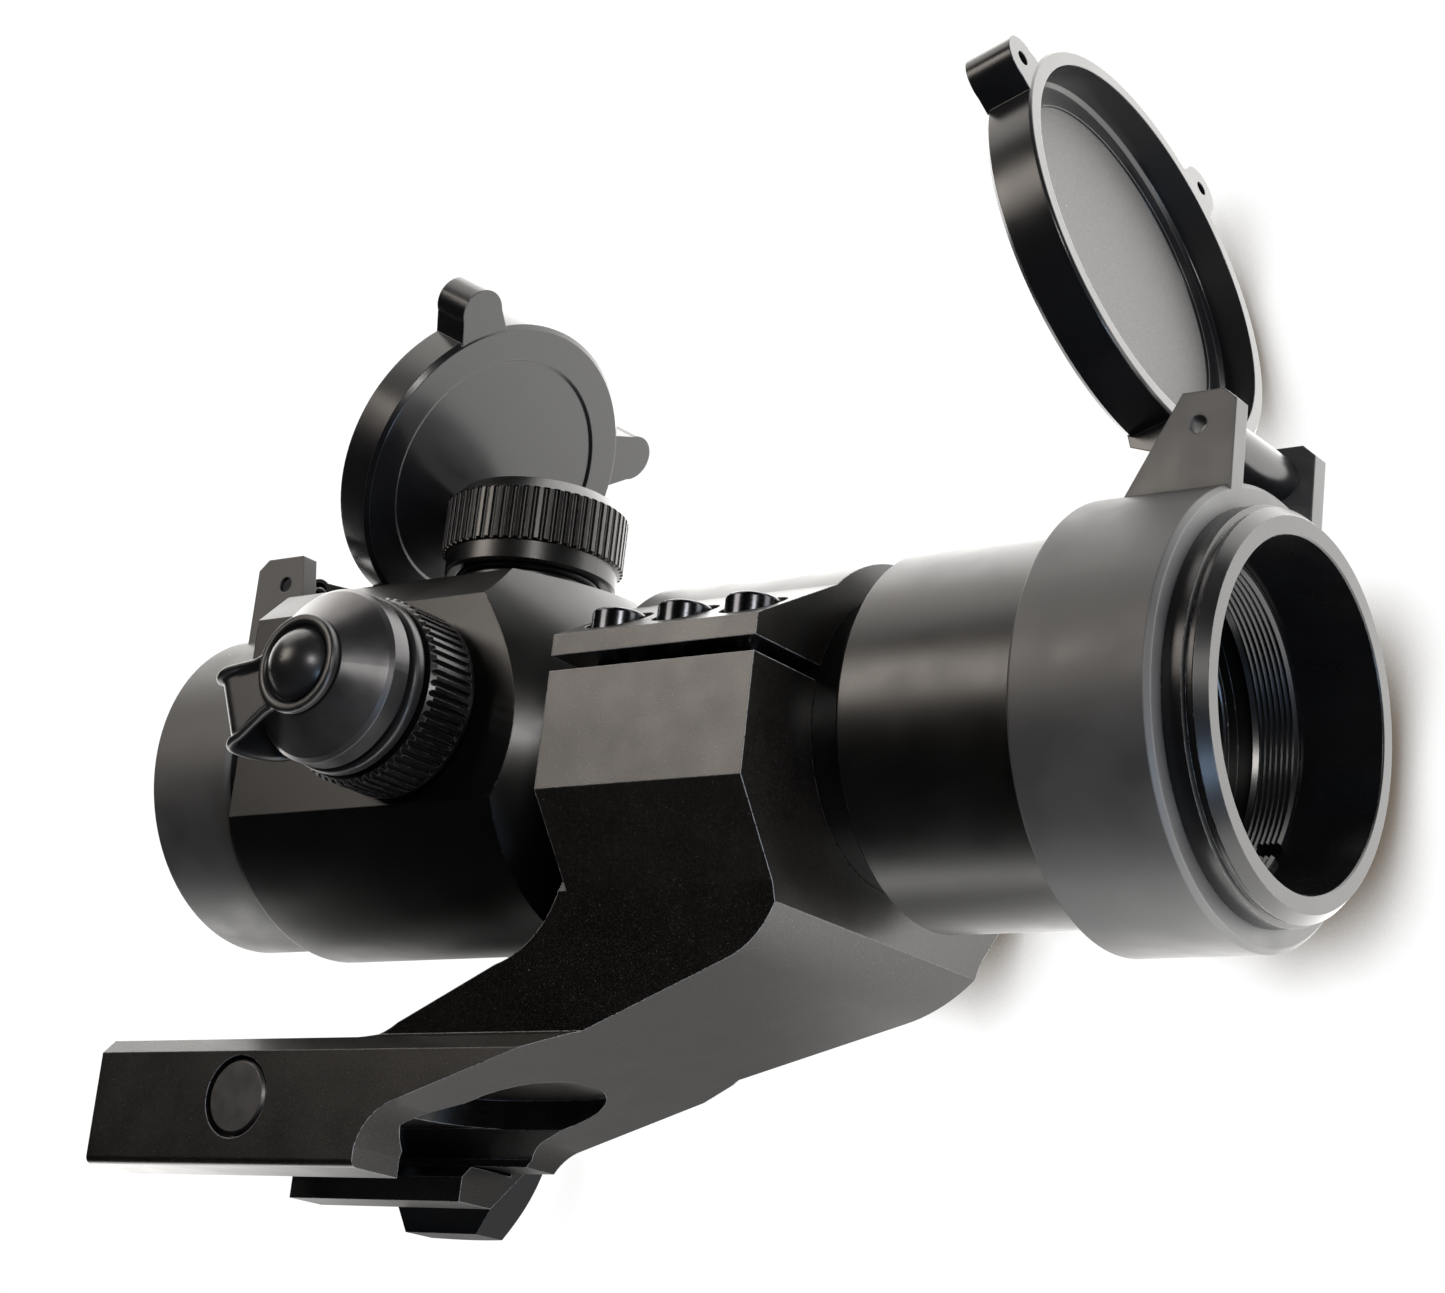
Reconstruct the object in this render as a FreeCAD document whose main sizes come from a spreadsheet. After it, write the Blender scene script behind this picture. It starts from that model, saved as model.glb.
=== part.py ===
"""Tube red dot finder on a cantilever rail mount, as a parametric assembly.

Frame: +X points forward along the optical axis, +Y to the left and +Z up.
The origin is the centre of the rail seat.  Lengths are in millimetres.

Every piece is drawn in one of two local frames:
  tube frame  x = 0 at the front rim, optical axis on the X axis
  stud frame  local +Z is the axis of the knob or turret, z = 0 at the optical axis
and its Placement carries it to its place.
"""
import FreeCAD, Part
import math
import os
import re

import Sketcher

DRIVING = [
    # place of the tube over the rail
    ("rim_ahead", 120.0), ("axis_height", 37.3),
    # main tube
    ("bell_radius", 19.0), ("bell_front", 3.7), ("bell_back", 39.3), ("tube_radius", 15.0),
    ("tube_bore", 13.2), ("cone_start", 76.5), ("corner_radius", 23.4), ("cone_end", 86.5),
    ("belly_radius", 19.6), ("flat_side", 18.0), ("flat_top", 18.8), ("corner_cut", 4.0),
    ("housing_back", 119.6), ("neck_radius", 16.4), ("tube_back", 132.4),
    # front end
    ("mouth_radius", 16.64), ("sleeve_radius", 17.2), ("bezel_radius", 19.6), ("rim_proud", 0.4),
    ("sleeve_depth", 8.4), ("ring_back", 13.2), ("lens_radius", 15.4), ("lens_front", 21.0),
    # covers
    ("front_cover_radius", 21.9), ("front_cover_front", 3.7), ("front_cover_back", 18.4),
    ("front_hinge_back", 7.6), ("front_hinge_up", 26.3), ("front_lid_open", 197.8),
    ("front_lid_depth", 5.4), ("front_lug_reach", 23.5),
    ("rear_cover_radius", 18.14), ("rear_cover_front", 120.9), ("rear_cover_back", 132.9),
    ("rear_hinge_back", 125.5), ("rear_hinge_up", 22.4), ("rear_lid_open", 208.3),
    ("rear_lid_depth", 5.1), ("rear_lug_reach", 20.6),
    ("lid_gap", 0.25), ("lid_skin", 1.2), ("lid_wall", 1.7), ("lug_radius", 2.7),
    ("lug_hole", 0.8), ("lug_angle", 52.0), ("front_lug_twist", 4.0), ("rear_lug_twist", 11.0),
    ("pin_radius", 0.9), ("pin_play", 0.05),
    ("knuckle_radius", 2.3), ("ear_outer", 9.2), ("ear_thick", 2.2),
    # turrets and knob
    ("turret_back", 96.4), ("turret_radius", 10.2), ("knob_back", 94.5), ("knob_up", 2.5),
    ("dial_radius", 10.1), ("flute_count", 56.0), ("flute_depth", 0.42), ("flute_radius", 0.34),
    # inner tube
    ("inner_radius", 11.0), ("inner_wall", 0.9), ("gimbal_back", 42.5),
    ("inner_back", 112.0), ("pivot_radius", 0.8),
    # ring mount
    ("mount_front", 44.5), ("mount_back", 69.7), ("ring_fit", 0.05), ("flange_half", 25.2),
    ("split_low", 2.6), ("split_gap", 1.6), ("flange_thick", 2.2), ("cap_radius", 18.4),
    ("ridge_drop", 9.5), ("waist_half", 18.5), ("waist_drop", 18.2), ("ring_bottom", 20.0),
    ("screw_side", 20.5), ("screw_pitch", 8.3), ("screw_head", 2.75), ("screw_shank", 1.5),
    ("screw_tall", 3.2), ("screw_reach", 9.5),
    # rail clamp, heights below the optical axis
    ("foot_back", 136.3), ("foot_front", 96.5), ("clamp_top", 31.5), ("clamp_half", 15.5),
    ("claw_foot", 45.3), ("rail_half", 7.9), ("rail_vee", 2.85), ("claw_tip", 8.4), ("arm_waist", 13.2),
    ("window_radius", 8.0), ("window_front", 87.0), ("window_back", 96.5), ("window_roof", 34.2),
    ("bolt_ahead", 5.4), ("bolt_drop", 38.0), ("bolt_radius", 2.2), ("bolt_head", 4.05),
    ("jaw_ahead", 5.3), ("jaw_length", 25.6), ("jaw_thick", 3.6), ("nut_flat", 18.5), ("nut_thick", 5.4),
]

doc = FreeCAD.newDocument("red_dot_finder")
sheet = doc.addObject("Spreadsheet::Sheet", "Dimensions")
for row, (alias, size) in enumerate(DRIVING, start=1):
    sheet.set("A%d" % row, alias)
    sheet.set("B%d" % row, str(size))
    sheet.setAlias("B%d" % row, alias)
doc.recompute()

ALIASES = set(alias for alias, size in DRIVING)
pieces = []


def number(formula):
    """Value of a formula written with the sheet's aliases."""
    return float(sheet.evalExpression(str(formula)))


def bound(formula):
    """The same formula with each alias pointing at the sheet."""
    return re.sub(r"[A-Za-z_]\w*",
                  lambda word: "Dimensions." + word.group(0) if word.group(0) in ALIASES else word.group(0),
                  str(formula))


def place(piece, base, axis=(0, 0, 1), angle="0"):
    """Put a piece at a base of three formulas, turned by an angle formula about an axis."""
    turn = FreeCAD.Rotation(FreeCAD.Vector(*axis), number(angle))
    piece.Placement = FreeCAD.Placement(FreeCAD.Vector(*[number(part) for part in base]), turn)
    for letter, part in zip("xyz", base):
        piece.setExpression("Placement.Base." + letter, bound(part))


def place_on_tube(piece):
    place(piece, ("rim_ahead", "0", "axis_height"))


def place_lid(piece, hinge_back, hinge_up, turn):
    """Swing a lid that is drawn closed to its open place, about its hinge line along Y."""
    along = "rim_ahead - {0} + {0} * cos({2}) - {1} * sin({2})".format(hinge_back, hinge_up, turn)
    height = "axis_height + {1} - {0} * sin({2}) - {1} * cos({2})".format(hinge_back, hinge_up, turn)
    place(piece, (along, "0", height), (0, 1, 0), turn)


def place_stud(piece, side, spin="0"):
    """Stand a turret or knob piece on the top, left or right side of the housing, spun about its axis."""
    if side == "top":
        place(piece, ("rim_ahead - turret_back", "0", "axis_height"))
    elif side == "left":
        place(piece, ("rim_ahead - turret_back", "0", "axis_height"), (1, 0, 0), "-90")
    else:
        place(piece, ("rim_ahead - knob_back", "0", "axis_height + knob_up"), (1, 0, 0), "90")
    piece.Placement = piece.Placement.multiply(
        FreeCAD.Placement(FreeCAD.Vector(0, 0, 0), FreeCAD.Rotation(FreeCAD.Vector(0, 0, 1), number(spin))))


def body(name):
    new = doc.addObject("PartDesign::Body", name)
    new.Label = name
    pieces.append(new)
    return new


def origin_plane(owner, role):
    for feature in owner.Origin.OriginFeatures:
        if feature.Role == role:
            return feature
    raise ValueError(role)


def new_sketch(owner, name, plane, offset="0"):
    sketch = owner.newObject("Sketcher::SketchObject", name)
    sketch.AttachmentSupport = [(origin_plane(owner, plane), "")]
    sketch.MapMode = "FlatFace"
    if offset != "0":
        sketch.AttachmentOffset = FreeCAD.Placement(FreeCAD.Vector(0, 0, number(offset)),
                                                    FreeCAD.Rotation())
        sketch.setExpression("AttachmentOffset.Base.z", bound(offset))
    return sketch


def pin_point(sketch, geometry, point, across, up):
    """Fix one sketch point at two formulas measured from the sketch's origin."""
    for kind, formula in (("DistanceX", across), ("DistanceY", up)):
        size = number(formula)
        if abs(size) < 1e-9:
            axis = -2 if kind == "DistanceX" else -1
            sketch.addConstraint(Sketcher.Constraint("PointOnObject", geometry, point, axis))
            continue
        index = sketch.addConstraint(Sketcher.Constraint(kind, -1, 1, geometry, point, size))
        sketch.setExpression("Constraints[%d]" % index, bound(formula))


def arc_between(start, end, radius):
    """Arc of a signed radius: positive bends to the left of the way from start to end."""
    middle = (start + end) * 0.5
    chord = end - start
    left = FreeCAD.Vector(-chord.y, chord.x, 0).normalize()
    rise = math.sqrt(max(radius * radius - chord.Length ** 2 / 4, 0))
    centre = middle + left * math.copysign(rise, radius)
    first, last = (start, end) if radius > 0 else (end, start)
    angle_first = math.atan2(first.y - centre.y, first.x - centre.x)
    angle_last = math.atan2(last.y - centre.y, last.x - centre.x)
    circle = Part.Circle(centre, FreeCAD.Vector(0, 0, 1), abs(radius))
    return Part.ArcOfCircle(circle, angle_first, angle_last)


def outline(sketch, corners):
    """Closed outline.  A corner is (across, up) or (across, up, radius of the arc that leaves it)."""
    points = [FreeCAD.Vector(number(corner[0]), number(corner[1]), 0) for corner in corners]
    edges = []
    for index, corner in enumerate(corners):
        start = points[index]
        end = points[(index + 1) % len(points)]
        if len(corner) == 3:
            radius = number(corner[2])
            edge = sketch.addGeometry(arc_between(start, end, radius), False)
            edges.append((edge, 1, 2) if radius > 0 else (edge, 2, 1))
        else:
            edges.append((sketch.addGeometry(Part.LineSegment(start, end), False), 1, 2))
    for index, (edge, start_point, end_point) in enumerate(edges):
        following, following_start, unused = edges[(index + 1) % len(edges)]
        sketch.addConstraint(Sketcher.Constraint("Coincident", edge, end_point, following, following_start))
        pin_point(sketch, edge, start_point, corners[index][0], corners[index][1])
        if len(corners[index]) == 3:
            radius = sketch.addConstraint(Sketcher.Constraint("Radius", edge, abs(number(corners[index][2]))))
            sketch.setExpression("Constraints[%d]" % radius, bound("abs(%s)" % corners[index][2]))


def dome(half_width, rise):
    """Radius formula of the sphere cap with this half width and rise, centred on the axis."""
    return "(%s * %s + %s * %s) / (2 * %s)" % (half_width, half_width, rise, rise, rise)


def disc(sketch, across, up, radius):
    """Full circle at two formulas."""
    centre = FreeCAD.Vector(number(across), number(up), 0)
    edge = sketch.addGeometry(Part.Circle(centre, FreeCAD.Vector(0, 0, 1), number(radius)), False)
    pin_point(sketch, edge, 3, across, up)
    index = sketch.addConstraint(Sketcher.Constraint("Radius", edge, number(radius)))
    sketch.setExpression("Constraints[%d]" % index, bound(radius))


def pad(owner, sketch, length, both_sides=False):
    feature = owner.newObject("PartDesign::Pad", sketch.Name + "_pad")
    feature.Profile = sketch
    feature.Length = number(length)
    feature.setExpression("Length", bound(length))
    feature.Midplane = both_sides
    sketch.Visibility = False
    return feature


def pocket(owner, sketch, length, both_sides=False, other_way=False):
    feature = owner.newObject("PartDesign::Pocket", sketch.Name + "_pocket")
    feature.Profile = sketch
    feature.Length = number(length)
    feature.setExpression("Length", bound(length))
    feature.Midplane = both_sides
    feature.Reversed = other_way
    return feature


def turn(owner, sketch, axis):
    feature = owner.newObject("PartDesign::Revolution", sketch.Name + "_turned")
    feature.Profile = sketch
    feature.ReferenceAxis = (sketch, [axis])
    feature.Angle = 360.0
    return feature


def groove(owner, sketch, axis):
    feature = owner.newObject("PartDesign::Groove", sketch.Name + "_groove")
    feature.Profile = sketch
    feature.ReferenceAxis = (sketch, [axis])
    feature.Angle = 360.0
    return feature


def turned(name, corners, axis="H_Axis"):
    """Solid of revolution about the optical axis, or about a stud's axis with V_Axis."""
    new = body(name)
    sketch = new_sketch(new, name + "_profile", "XZ_Plane")
    outline(sketch, corners)
    turn(new, sketch, axis)
    return new


def round_pattern(owner, feature, count, axis_role):
    """Repeat a feature round one of the body's own axes."""
    doc.recompute()
    pattern = owner.newObject("PartDesign::PolarPattern", feature.Name + "_round")
    pattern.Originals = [feature]
    pattern.Axis = (origin_plane(owner, axis_role), [""])
    pattern.Angle = 360
    pattern.Occurrences = int(number(count))
    pattern.setExpression("Occurrences", bound(count))
    owner.Tip = pattern
    return pattern


def solid_group(name, make):
    """One piece made of plain shapes, for identical fasteners, coils and cords."""
    new = doc.addObject("Part::Feature", name)
    new.Label = name
    new.Shape = make
    pieces.append(new)
    return new


# ---------------------------------------------------------------- main tube

def make_main_tube():
    """Bell, slim tube, cone and rear housing turned in one piece, then flatted and bored."""
    tube = turned("main_tube", [
        ("-bell_front", "sleeve_radius + 0.05"), ("-bell_front", "bell_radius"),
        ("-bell_back + 0.6", "bell_radius"), ("-bell_back", "bell_radius - 0.6"),
        ("-bell_back", "tube_radius"), ("-cone_start", "tube_radius"),
        ("-cone_end", "corner_radius"), ("-housing_back", "corner_radius"),
        ("-housing_back", "neck_radius"), ("-tube_back", "neck_radius"),
        ("-tube_back", "neck_radius - 1.3"), ("-tube_back + 7", "neck_radius - 1.3"),
        ("-tube_back + 7", "tube_bore - 1"), ("-tube_back + 9", "tube_bore"),
        ("-bell_back + 3.5", "tube_bore"), ("-lens_front - 4.2", "lens_radius - 0.9"),
        ("-lens_front - 4.2", "lens_radius + 0.05"), ("-lens_front + 0.6", "lens_radius + 0.05"),
        ("-ring_back - 2.4", "lens_radius + 0.05"), ("-ring_back - 2.4", "sleeve_radius + 0.05")])
    flats = new_sketch(tube, "housing_section", "YZ_Plane", "-housing_back - 0.5")
    disc(flats, "0", "0", "corner_radius + 3")
    belly_top = "-sqrt(belly_radius * belly_radius - flat_side * flat_side)"
    outline(flats, [
        ("flat_side", belly_top), ("flat_side", "flat_top - corner_cut"),
        ("flat_side - corner_cut", "flat_top"), ("-flat_side + corner_cut", "flat_top"),
        ("-flat_side", "flat_top - corner_cut"), ("-flat_side", belly_top, "belly_radius")])
    pocket(tube, flats, "housing_back - cone_start + 0.5", other_way=True)
    baffles = new_sketch(tube, "baffle_grooves", "XZ_Plane")
    for step in range(6):
        back = "-lens_front - 6.0 - %g" % (1.5 * step)
        outline(baffles, [(back, "tube_bore - 1"), (back, "tube_bore + 1.4"),
                          (back + " + 0.8", "tube_bore + 1.4"), (back + " + 0.8", "tube_bore - 1")])
    groove(tube, baffles, "H_Axis")
    for side, plane, station, height, radius in (
            ("top", "XY_Plane", "turret_back", "0", "6.05"), ("left", "XZ_Plane", "turret_back", "0", "6.05"),
            ("right", "XZ_Plane", "knob_back", "knob_up", "5.05")):
        hole = new_sketch(tube, side + "_port", plane)
        disc(hole, "-" + station, height, radius)
        pocket(tube, hole, "flat_top + 3", other_way=side != "left")
    pin_holes = new_sketch(tube, "pivot_holes", "XZ_Plane")
    disc(pin_holes, "-gimbal_back", "0", "pivot_radius + 0.02")
    pocket(tube, pin_holes, "2 * (tube_radius - 0.3)", both_sides=True)
    place_on_tube(tube)


def make_front_end():
    bezel = turned("objective_bezel", [
        ("-bell_front + 0.05", "sleeve_radius"), ("-bell_front + 0.05", "bezel_radius"),
        ("-1.7", "bezel_radius"), ("-1.5", "bezel_radius - 0.5"), ("-0.9", "bezel_radius - 0.5"),
        ("-0.7", "bezel_radius - 0.3"), ("rim_proud", "bezel_radius - 1.2"),
        ("rim_proud", "mouth_radius + 0.15"), ("rim_proud - 0.15", "mouth_radius"),
        ("-sleeve_depth", "mouth_radius"), ("-sleeve_depth", "sleeve_radius")])
    place_on_tube(bezel)
    thread = [("-sleeve_depth - 0.05", "sleeve_radius"), ("-sleeve_depth - 0.05", "mouth_radius - 0.5")]
    pitch = 0.6
    for step in range(7):
        back = "-sleeve_depth - %.2f" % (0.35 + pitch * step)
        thread.append((back, "mouth_radius - 0.85"))
        thread.append((back + " - 0.3", "mouth_radius - 0.5"))
    thread += [("-ring_back", "mouth_radius - 0.85"), ("-ring_back", "sleeve_radius")]
    ring = turned("objective_retaining_ring", thread)
    notch = new_sketch(ring, "spanner_notch", "XY_Plane")
    outline(notch, [("-sleeve_depth - 2.4", "-0.9"), ("-sleeve_depth + 0.5", "-0.9"),
                    ("-sleeve_depth + 0.5", "0.9"), ("-sleeve_depth - 2.4", "0.9")])
    pocket(ring, notch, "2 * sleeve_radius + 2", both_sides=True)
    place_ring_notch(ring)
    lens = turned("objective_lens", [
        ("-lens_front - 4.0", "0"), ("-lens_front - 4.0", "lens_radius"),
        ("-lens_front - 1.6", "lens_radius", "-%s" % dome("lens_radius", "1.7")), ("-lens_front + 0.1", "0")])
    place_on_tube(lens)


def make_objective_baffle():
    """Stepped ring between the retaining ring and the lens, with sharp anti-glare ridges."""
    steps = 9
    front = "-ring_back - 2.5"
    corners = [("-lens_front - 0.8", "lens_radius"), (front, "lens_radius"), (front, "lens_radius - 0.4")]
    for step in range(steps):
        back = "%s - %.2f" % (front, 0.15 + 0.62 * step)
        ridge = "lens_radius - %.2f" % (0.55 + 0.12 * step)
        corners.append((back, ridge))
        corners.append((back + " - 0.3", ridge + " + 0.35"))
    corners.append(("-lens_front - 0.8", "lens_radius - 1.5"))
    baffle = turned("objective_baffle", corners)
    place_on_tube(baffle)


def place_ring_notch(piece):
    """The two spanner notches stand 55 degrees off the vertical."""
    place(piece, ("rim_ahead", "0", "axis_height"), (1, 0, 0), "55")


def make_rear_end():
    eyepiece = turned("eyepiece_lens", [
        ("-tube_back + 6.9", "0"), ("-tube_back + 6.9", "neck_radius - 1.35"),
        ("-tube_back + 4.9", "neck_radius - 1.35"), ("-tube_back + 4.9", "0")])
    place_on_tube(eyepiece)
    ring = turned("eyepiece_retaining_ring", [
        ("-tube_back + 4.8", "neck_radius - 1.35"), ("-tube_back + 4.8", "tube_bore - 0.6"),
        ("-tube_back + 2.6", "tube_bore + 0.2"), ("-tube_back + 2.6", "neck_radius - 1.35")])
    notch = new_sketch(ring, "eyepiece_notch", "XY_Plane")
    outline(notch, [("-tube_back", "-0.8"), ("-tube_back + 3.6", "-0.8"),
                    ("-tube_back + 3.6", "0.8"), ("-tube_back", "0.8")])
    pocket(ring, notch, "2 * neck_radius", both_sides=True)
    place_on_tube(ring)


# ---------------------------------------------------------------- flip covers

def make_cover(end, front, back, radius, inner, hinge_back, hinge_up, slope, pin_reach):
    """Cover ring with two hinge ears, its pin and its return spring."""
    ring = body(end + "_cover_ring")
    sketch = new_sketch(ring, end + "_ring_profile", "XZ_Plane")
    outline(sketch, [("-(%s)" % back, inner), ("-(%s)" % back, radius + " - 0.4"),
                     ("-(%s) + 0.4" % back, radius), ("-(%s) - 0.5" % front, radius),
                     ("-(%s)" % front, radius + " - 0.5"), ("-(%s)" % front, inner)])
    turn(ring, sketch, "H_Axis")
    root = "sqrt(%s * %s - ear_outer * ear_outer) - 0.5" % (radius, radius)
    straight, leaning = (("-(%s)" % front, "-(%s) - 11.6" % front) if slope > 0
                         else ("-(%s) + 2.8" % back, "-(%s) + 11.4" % back))
    top = "%s + 3.3" % hinge_up
    knee = "-(%s) - 1.9" % hinge_back if slope > 0 else "-(%s) + 2.2" % hinge_back
    crown = straight + (" - 1.4" if slope > 0 else " + 1.4")
    for side in (1, -1):
        ear = new_sketch(ring, "%s_ear_%s" % (end, "left" if side > 0 else "right"), "XZ_Plane",
                         "-ear_outer" if side > 0 else "ear_outer - ear_thick")
        outline(ear, [(straight, root), (straight, top + " - 1.2"), (crown, top), (knee, top),
                      (leaning, root)])
        disc(ear, "-(%s)" % hinge_back, hinge_up, "pin_radius")
        pad(ring, ear, "ear_thick")
    place_on_tube(ring)
    pin = body(end + "_hinge_pin")
    shank = new_sketch(pin, end + "_pin_section", "XZ_Plane", "-ear_outer + 0.3")
    disc(shank, "-(%s)" % hinge_back, hinge_up, "pin_radius")
    pad(pin, shank, "ear_outer - 0.3 + " + pin_reach)
    place_on_tube(pin)


def make_lid(end, rim, radius, depth, hinge_back, hinge_up, reach, twist, facing, turn_by):
    """Cup-shaped lid with an arm, a hinge knuckle and two finger lugs, drawn closed.

    facing is 1 where the outside of the closed lid looks forward and -1 where it looks back.
    """
    def station(inward):
        """Distance from the rim plane towards the outer face, as an x formula."""
        return "%s + %d * (%s)" % (rim, facing, inward)

    lid = body(end + "_lid")
    cup = new_sketch(lid, end + "_cup_profile", "XZ_Plane")
    outline(cup, [
        (station("0"), radius + " - lid_wall"), (station("0"), radius + " - 0.25"),
        (station("0.25"), radius), (station(depth + " - 0.5"), radius),
        (station(depth), radius + " - 0.5"), (station(depth), radius + " * 0.76 + 0.35"),
        (station(depth + " - 0.3"), radius + " * 0.76"), (station(depth + " - 0.3"), "0"),
        (station(depth + " - lid_skin"), "0"), (station(depth + " - lid_skin"), radius + " - lid_wall - 2.6"),
        (station(depth + " - lid_skin - 0.35"), radius + " - lid_wall - 2.6"),
        (station(depth + " - lid_skin - 0.35"), radius + " - lid_wall - 0.4"),
        (station(depth + " - lid_skin - 0.75"), radius + " - lid_wall")])
    turn(lid, cup, "H_Axis")
    arm = new_sketch(lid, end + "_arm_side", "XZ_Plane")
    hinge_at = "-(%s)" % hinge_back
    outline(arm, [
        (station("0"), radius + " - 1.0"), (station(depth + " - 0.1"), radius + " - 1.0"),
        (station(depth + " - 0.1"), radius + " + 0.6"),
        ("%s + %d * 1.25" % (hinge_at, facing), "%s + knuckle_radius * 0.84" % hinge_up),
        ("%s - %d * 0.9" % (hinge_at, facing), "%s - knuckle_radius * 0.8" % hinge_up),
        (station("0"), radius + " + 0.55")])
    pad(lid, arm, "8.4", both_sides=True)
    knuckle = new_sketch(lid, end + "_knuckle", "XZ_Plane", "-ear_outer + ear_thick + 0.35")
    disc(knuckle, hinge_at, hinge_up, "knuckle_radius")
    pad(lid, knuckle, "ear_outer - ear_thick - 0.35 + 4.2")
    inner_side = station("0.15") if facing > 0 else station(depth + " - 0.15")
    for side in (1, -1):
        angle = "(lug_angle + %d * %s)" % (side, twist)
        lug = new_sketch(lid, "%s_lug_%s" % (end, "left" if side > 0 else "right"), "YZ_Plane", inner_side)
        disc(lug, "%d * %s * sin%s" % (side, reach, angle), "-%s * cos%s" % (reach, angle), "lug_radius")
        pad(lid, lug, depth + " - 0.3")
        web = new_sketch(lid, "%s_web_%s" % (end, "left" if side > 0 else "right"), "YZ_Plane", inner_side)
        outline(web, web_corners(side, radius, reach, angle))
        pad(lid, web, depth + " - 0.3")
        hole = new_sketch(lid, "%s_lug_hole_%s" % (end, "left" if side > 0 else "right"), "YZ_Plane", rim)
        disc(hole, "%d * (%s + 0.3) * sin%s" % (side, reach, angle),
             "-(%s + 0.3) * cos%s" % (reach, angle), "lug_hole")
        pocket(lid, hole, depth + " - 1.6", other_way=facing > 0)
    bore = new_sketch(lid, end + "_pin_bore", "XZ_Plane")
    disc(bore, hinge_at, hinge_up, "pin_radius + pin_play")
    pocket(lid, bore, "3 * ear_outer", both_sides=True)
    spring_seat = new_sketch(lid, end + "_spring_seat", "XZ_Plane", "2.2")
    disc(spring_seat, hinge_at, hinge_up, "pin_radius + 0.95")
    pocket(lid, spring_seat, "5", other_way=True)
    place_lid(lid, hinge_back, hinge_up, turn_by)


def web_corners(side, radius, reach, angle):
    """Block that joins a finger lug to the lid's rim: four corners round the lug's own radius line."""
    corners = []
    for along, half in ((radius + " - 1.2", 3.2), (reach, 2.62), (reach, -2.62), (radius + " - 1.2", -3.2)):
        corners.append(("%d * ((%s) * sin%s + %g * cos%s)" % (side, along, angle, half, angle),
                        "-((%s) * cos%s - %g * sin%s)" % (along, angle, half, angle)))
    return corners


def coil(radius, wire, length, turns):
    """Closed round-wire coil along +Z, standing on z = 0, as a chain of half-turn arcs."""
    def at(half_turns):
        angle = math.pi * half_turns
        rise = length * half_turns / (2 * turns)
        return FreeCAD.Vector(radius * math.cos(angle), radius * math.sin(angle), rise)

    arcs = [Part.Arc(at(step), at(step + 0.5), at(step + 1)).toShape() for step in range(int(2 * turns))]
    heading = arcs[0].tangentAt(arcs[0].FirstParameter)
    section = Part.Wire([Part.makeCircle(wire, at(0), heading)])
    return Part.Wire(arcs).makePipeShell([section], True, False)


def make_hinge_spring(end, hinge_back, hinge_up):
    """Torsion spring on the pin, in a counterbore at the knuckle's right end."""
    spring = solid_group(end + "_hinge_spring", coil(number("pin_radius") + 0.4, 0.2, 1.4, 2.5))
    place(spring, ("rim_ahead - (%s)" % hinge_back, "-2.45", "axis_height + " + hinge_up), (1, 0, 0), "90")


# ---------------------------------------------------------------- turrets

def flutes(owner, low, high, radius):
    """Straight knurl: round-bottomed flutes cut all round a rim."""
    cutter = new_sketch(owner, owner.Name + "_flute", "XY_Plane", low)
    disc(cutter, "%s + flute_radius - flute_depth" % radius, "0", "flute_radius")
    cut = pocket(owner, cutter, "(%s) - (%s)" % (high, low), other_way=True)
    round_pattern(owner, cut, "flute_count", "Z_Axis")


def make_turret(prefix, side, seat):
    """Adjustment turret: threaded stem with a coin slot, seal and knurled cap."""
    screw = turned(prefix + "_screw", [
        ("0", "inner_radius + 0.6"), ("1.6", "inner_radius + 0.6"), ("1.6", seat + " - 2.0"),
        ("4.9", seat + " - 1.6"), ("4.9", seat + " + 6.85"), ("6.5", seat + " + 6.85"),
        ("6.5", seat + " + 9.2"), ("6.1", seat + " + 9.6"), ("0", seat + " + 9.6")], "V_Axis")
    slot = new_sketch(screw, prefix + "_coin_slot", "XZ_Plane")
    outline(slot, [("-0.7", seat + " + 8.2"), ("0.7", seat + " + 8.2"), ("0.7", seat + " + 12"),
                   ("-0.7", seat + " + 12")])
    pocket(screw, slot, "20", both_sides=True)
    place_stud(screw, side)
    seal = body(prefix + "_seal")
    section = new_sketch(seal, prefix + "_seal_section", "XZ_Plane")
    disc(section, "7.4", seat + " + 3.72", "0.55")
    turn(seal, section, "V_Axis")
    place_stud(seal, side)
    cap = turned(prefix + "_cap", [
        ("8.3", seat + " + 3.4"), ("turret_radius - 0.9", seat + " + 3.4"),
        ("turret_radius - 0.6", seat + " + 3.7"), ("turret_radius - 0.6", seat + " + 5.7"),
        ("turret_radius", seat + " + 5.9"), ("turret_radius", seat + " + 11.7"),
        ("turret_radius - 1.5", seat + " + 13.3"), ("4.6", seat + " + 13.4"),
        ("4.4", seat + " + 13.5", dome("4.4", "0.6")), ("0", seat + " + 14.1"),
        ("0", seat + " + 12.0"), ("8.2", seat + " + 12.0"), ("8.2", seat + " + 7.4"),
        ("6.8", seat + " + 6.9"), ("6.8", seat + " + 4.7"), ("8.3", seat + " + 4.7")], "V_Axis")
    flutes(cap, seat + " + 5.7", seat + " + 11.8", "turret_radius")
    place_stud(cap, side)
    collar = turned(prefix + "_collar", [
        ("5.0", seat + " - 2.4"), ("6.0", seat + " - 2.4"), ("6.0", seat + " + 0.02"),
        ("7.9", seat + " + 0.02"), ("7.9", seat + " + 2.8"), ("7.6", seat + " + 3.1"),
        ("6.7", seat + " + 3.1"), ("6.7", seat + " + 6.3"), ("6.5", seat + " + 6.5"),
        ("5.0", seat + " + 6.5")], "V_Axis")
    place_stud(collar, side)


# ---------------------------------------------------------------- knob with battery

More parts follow.
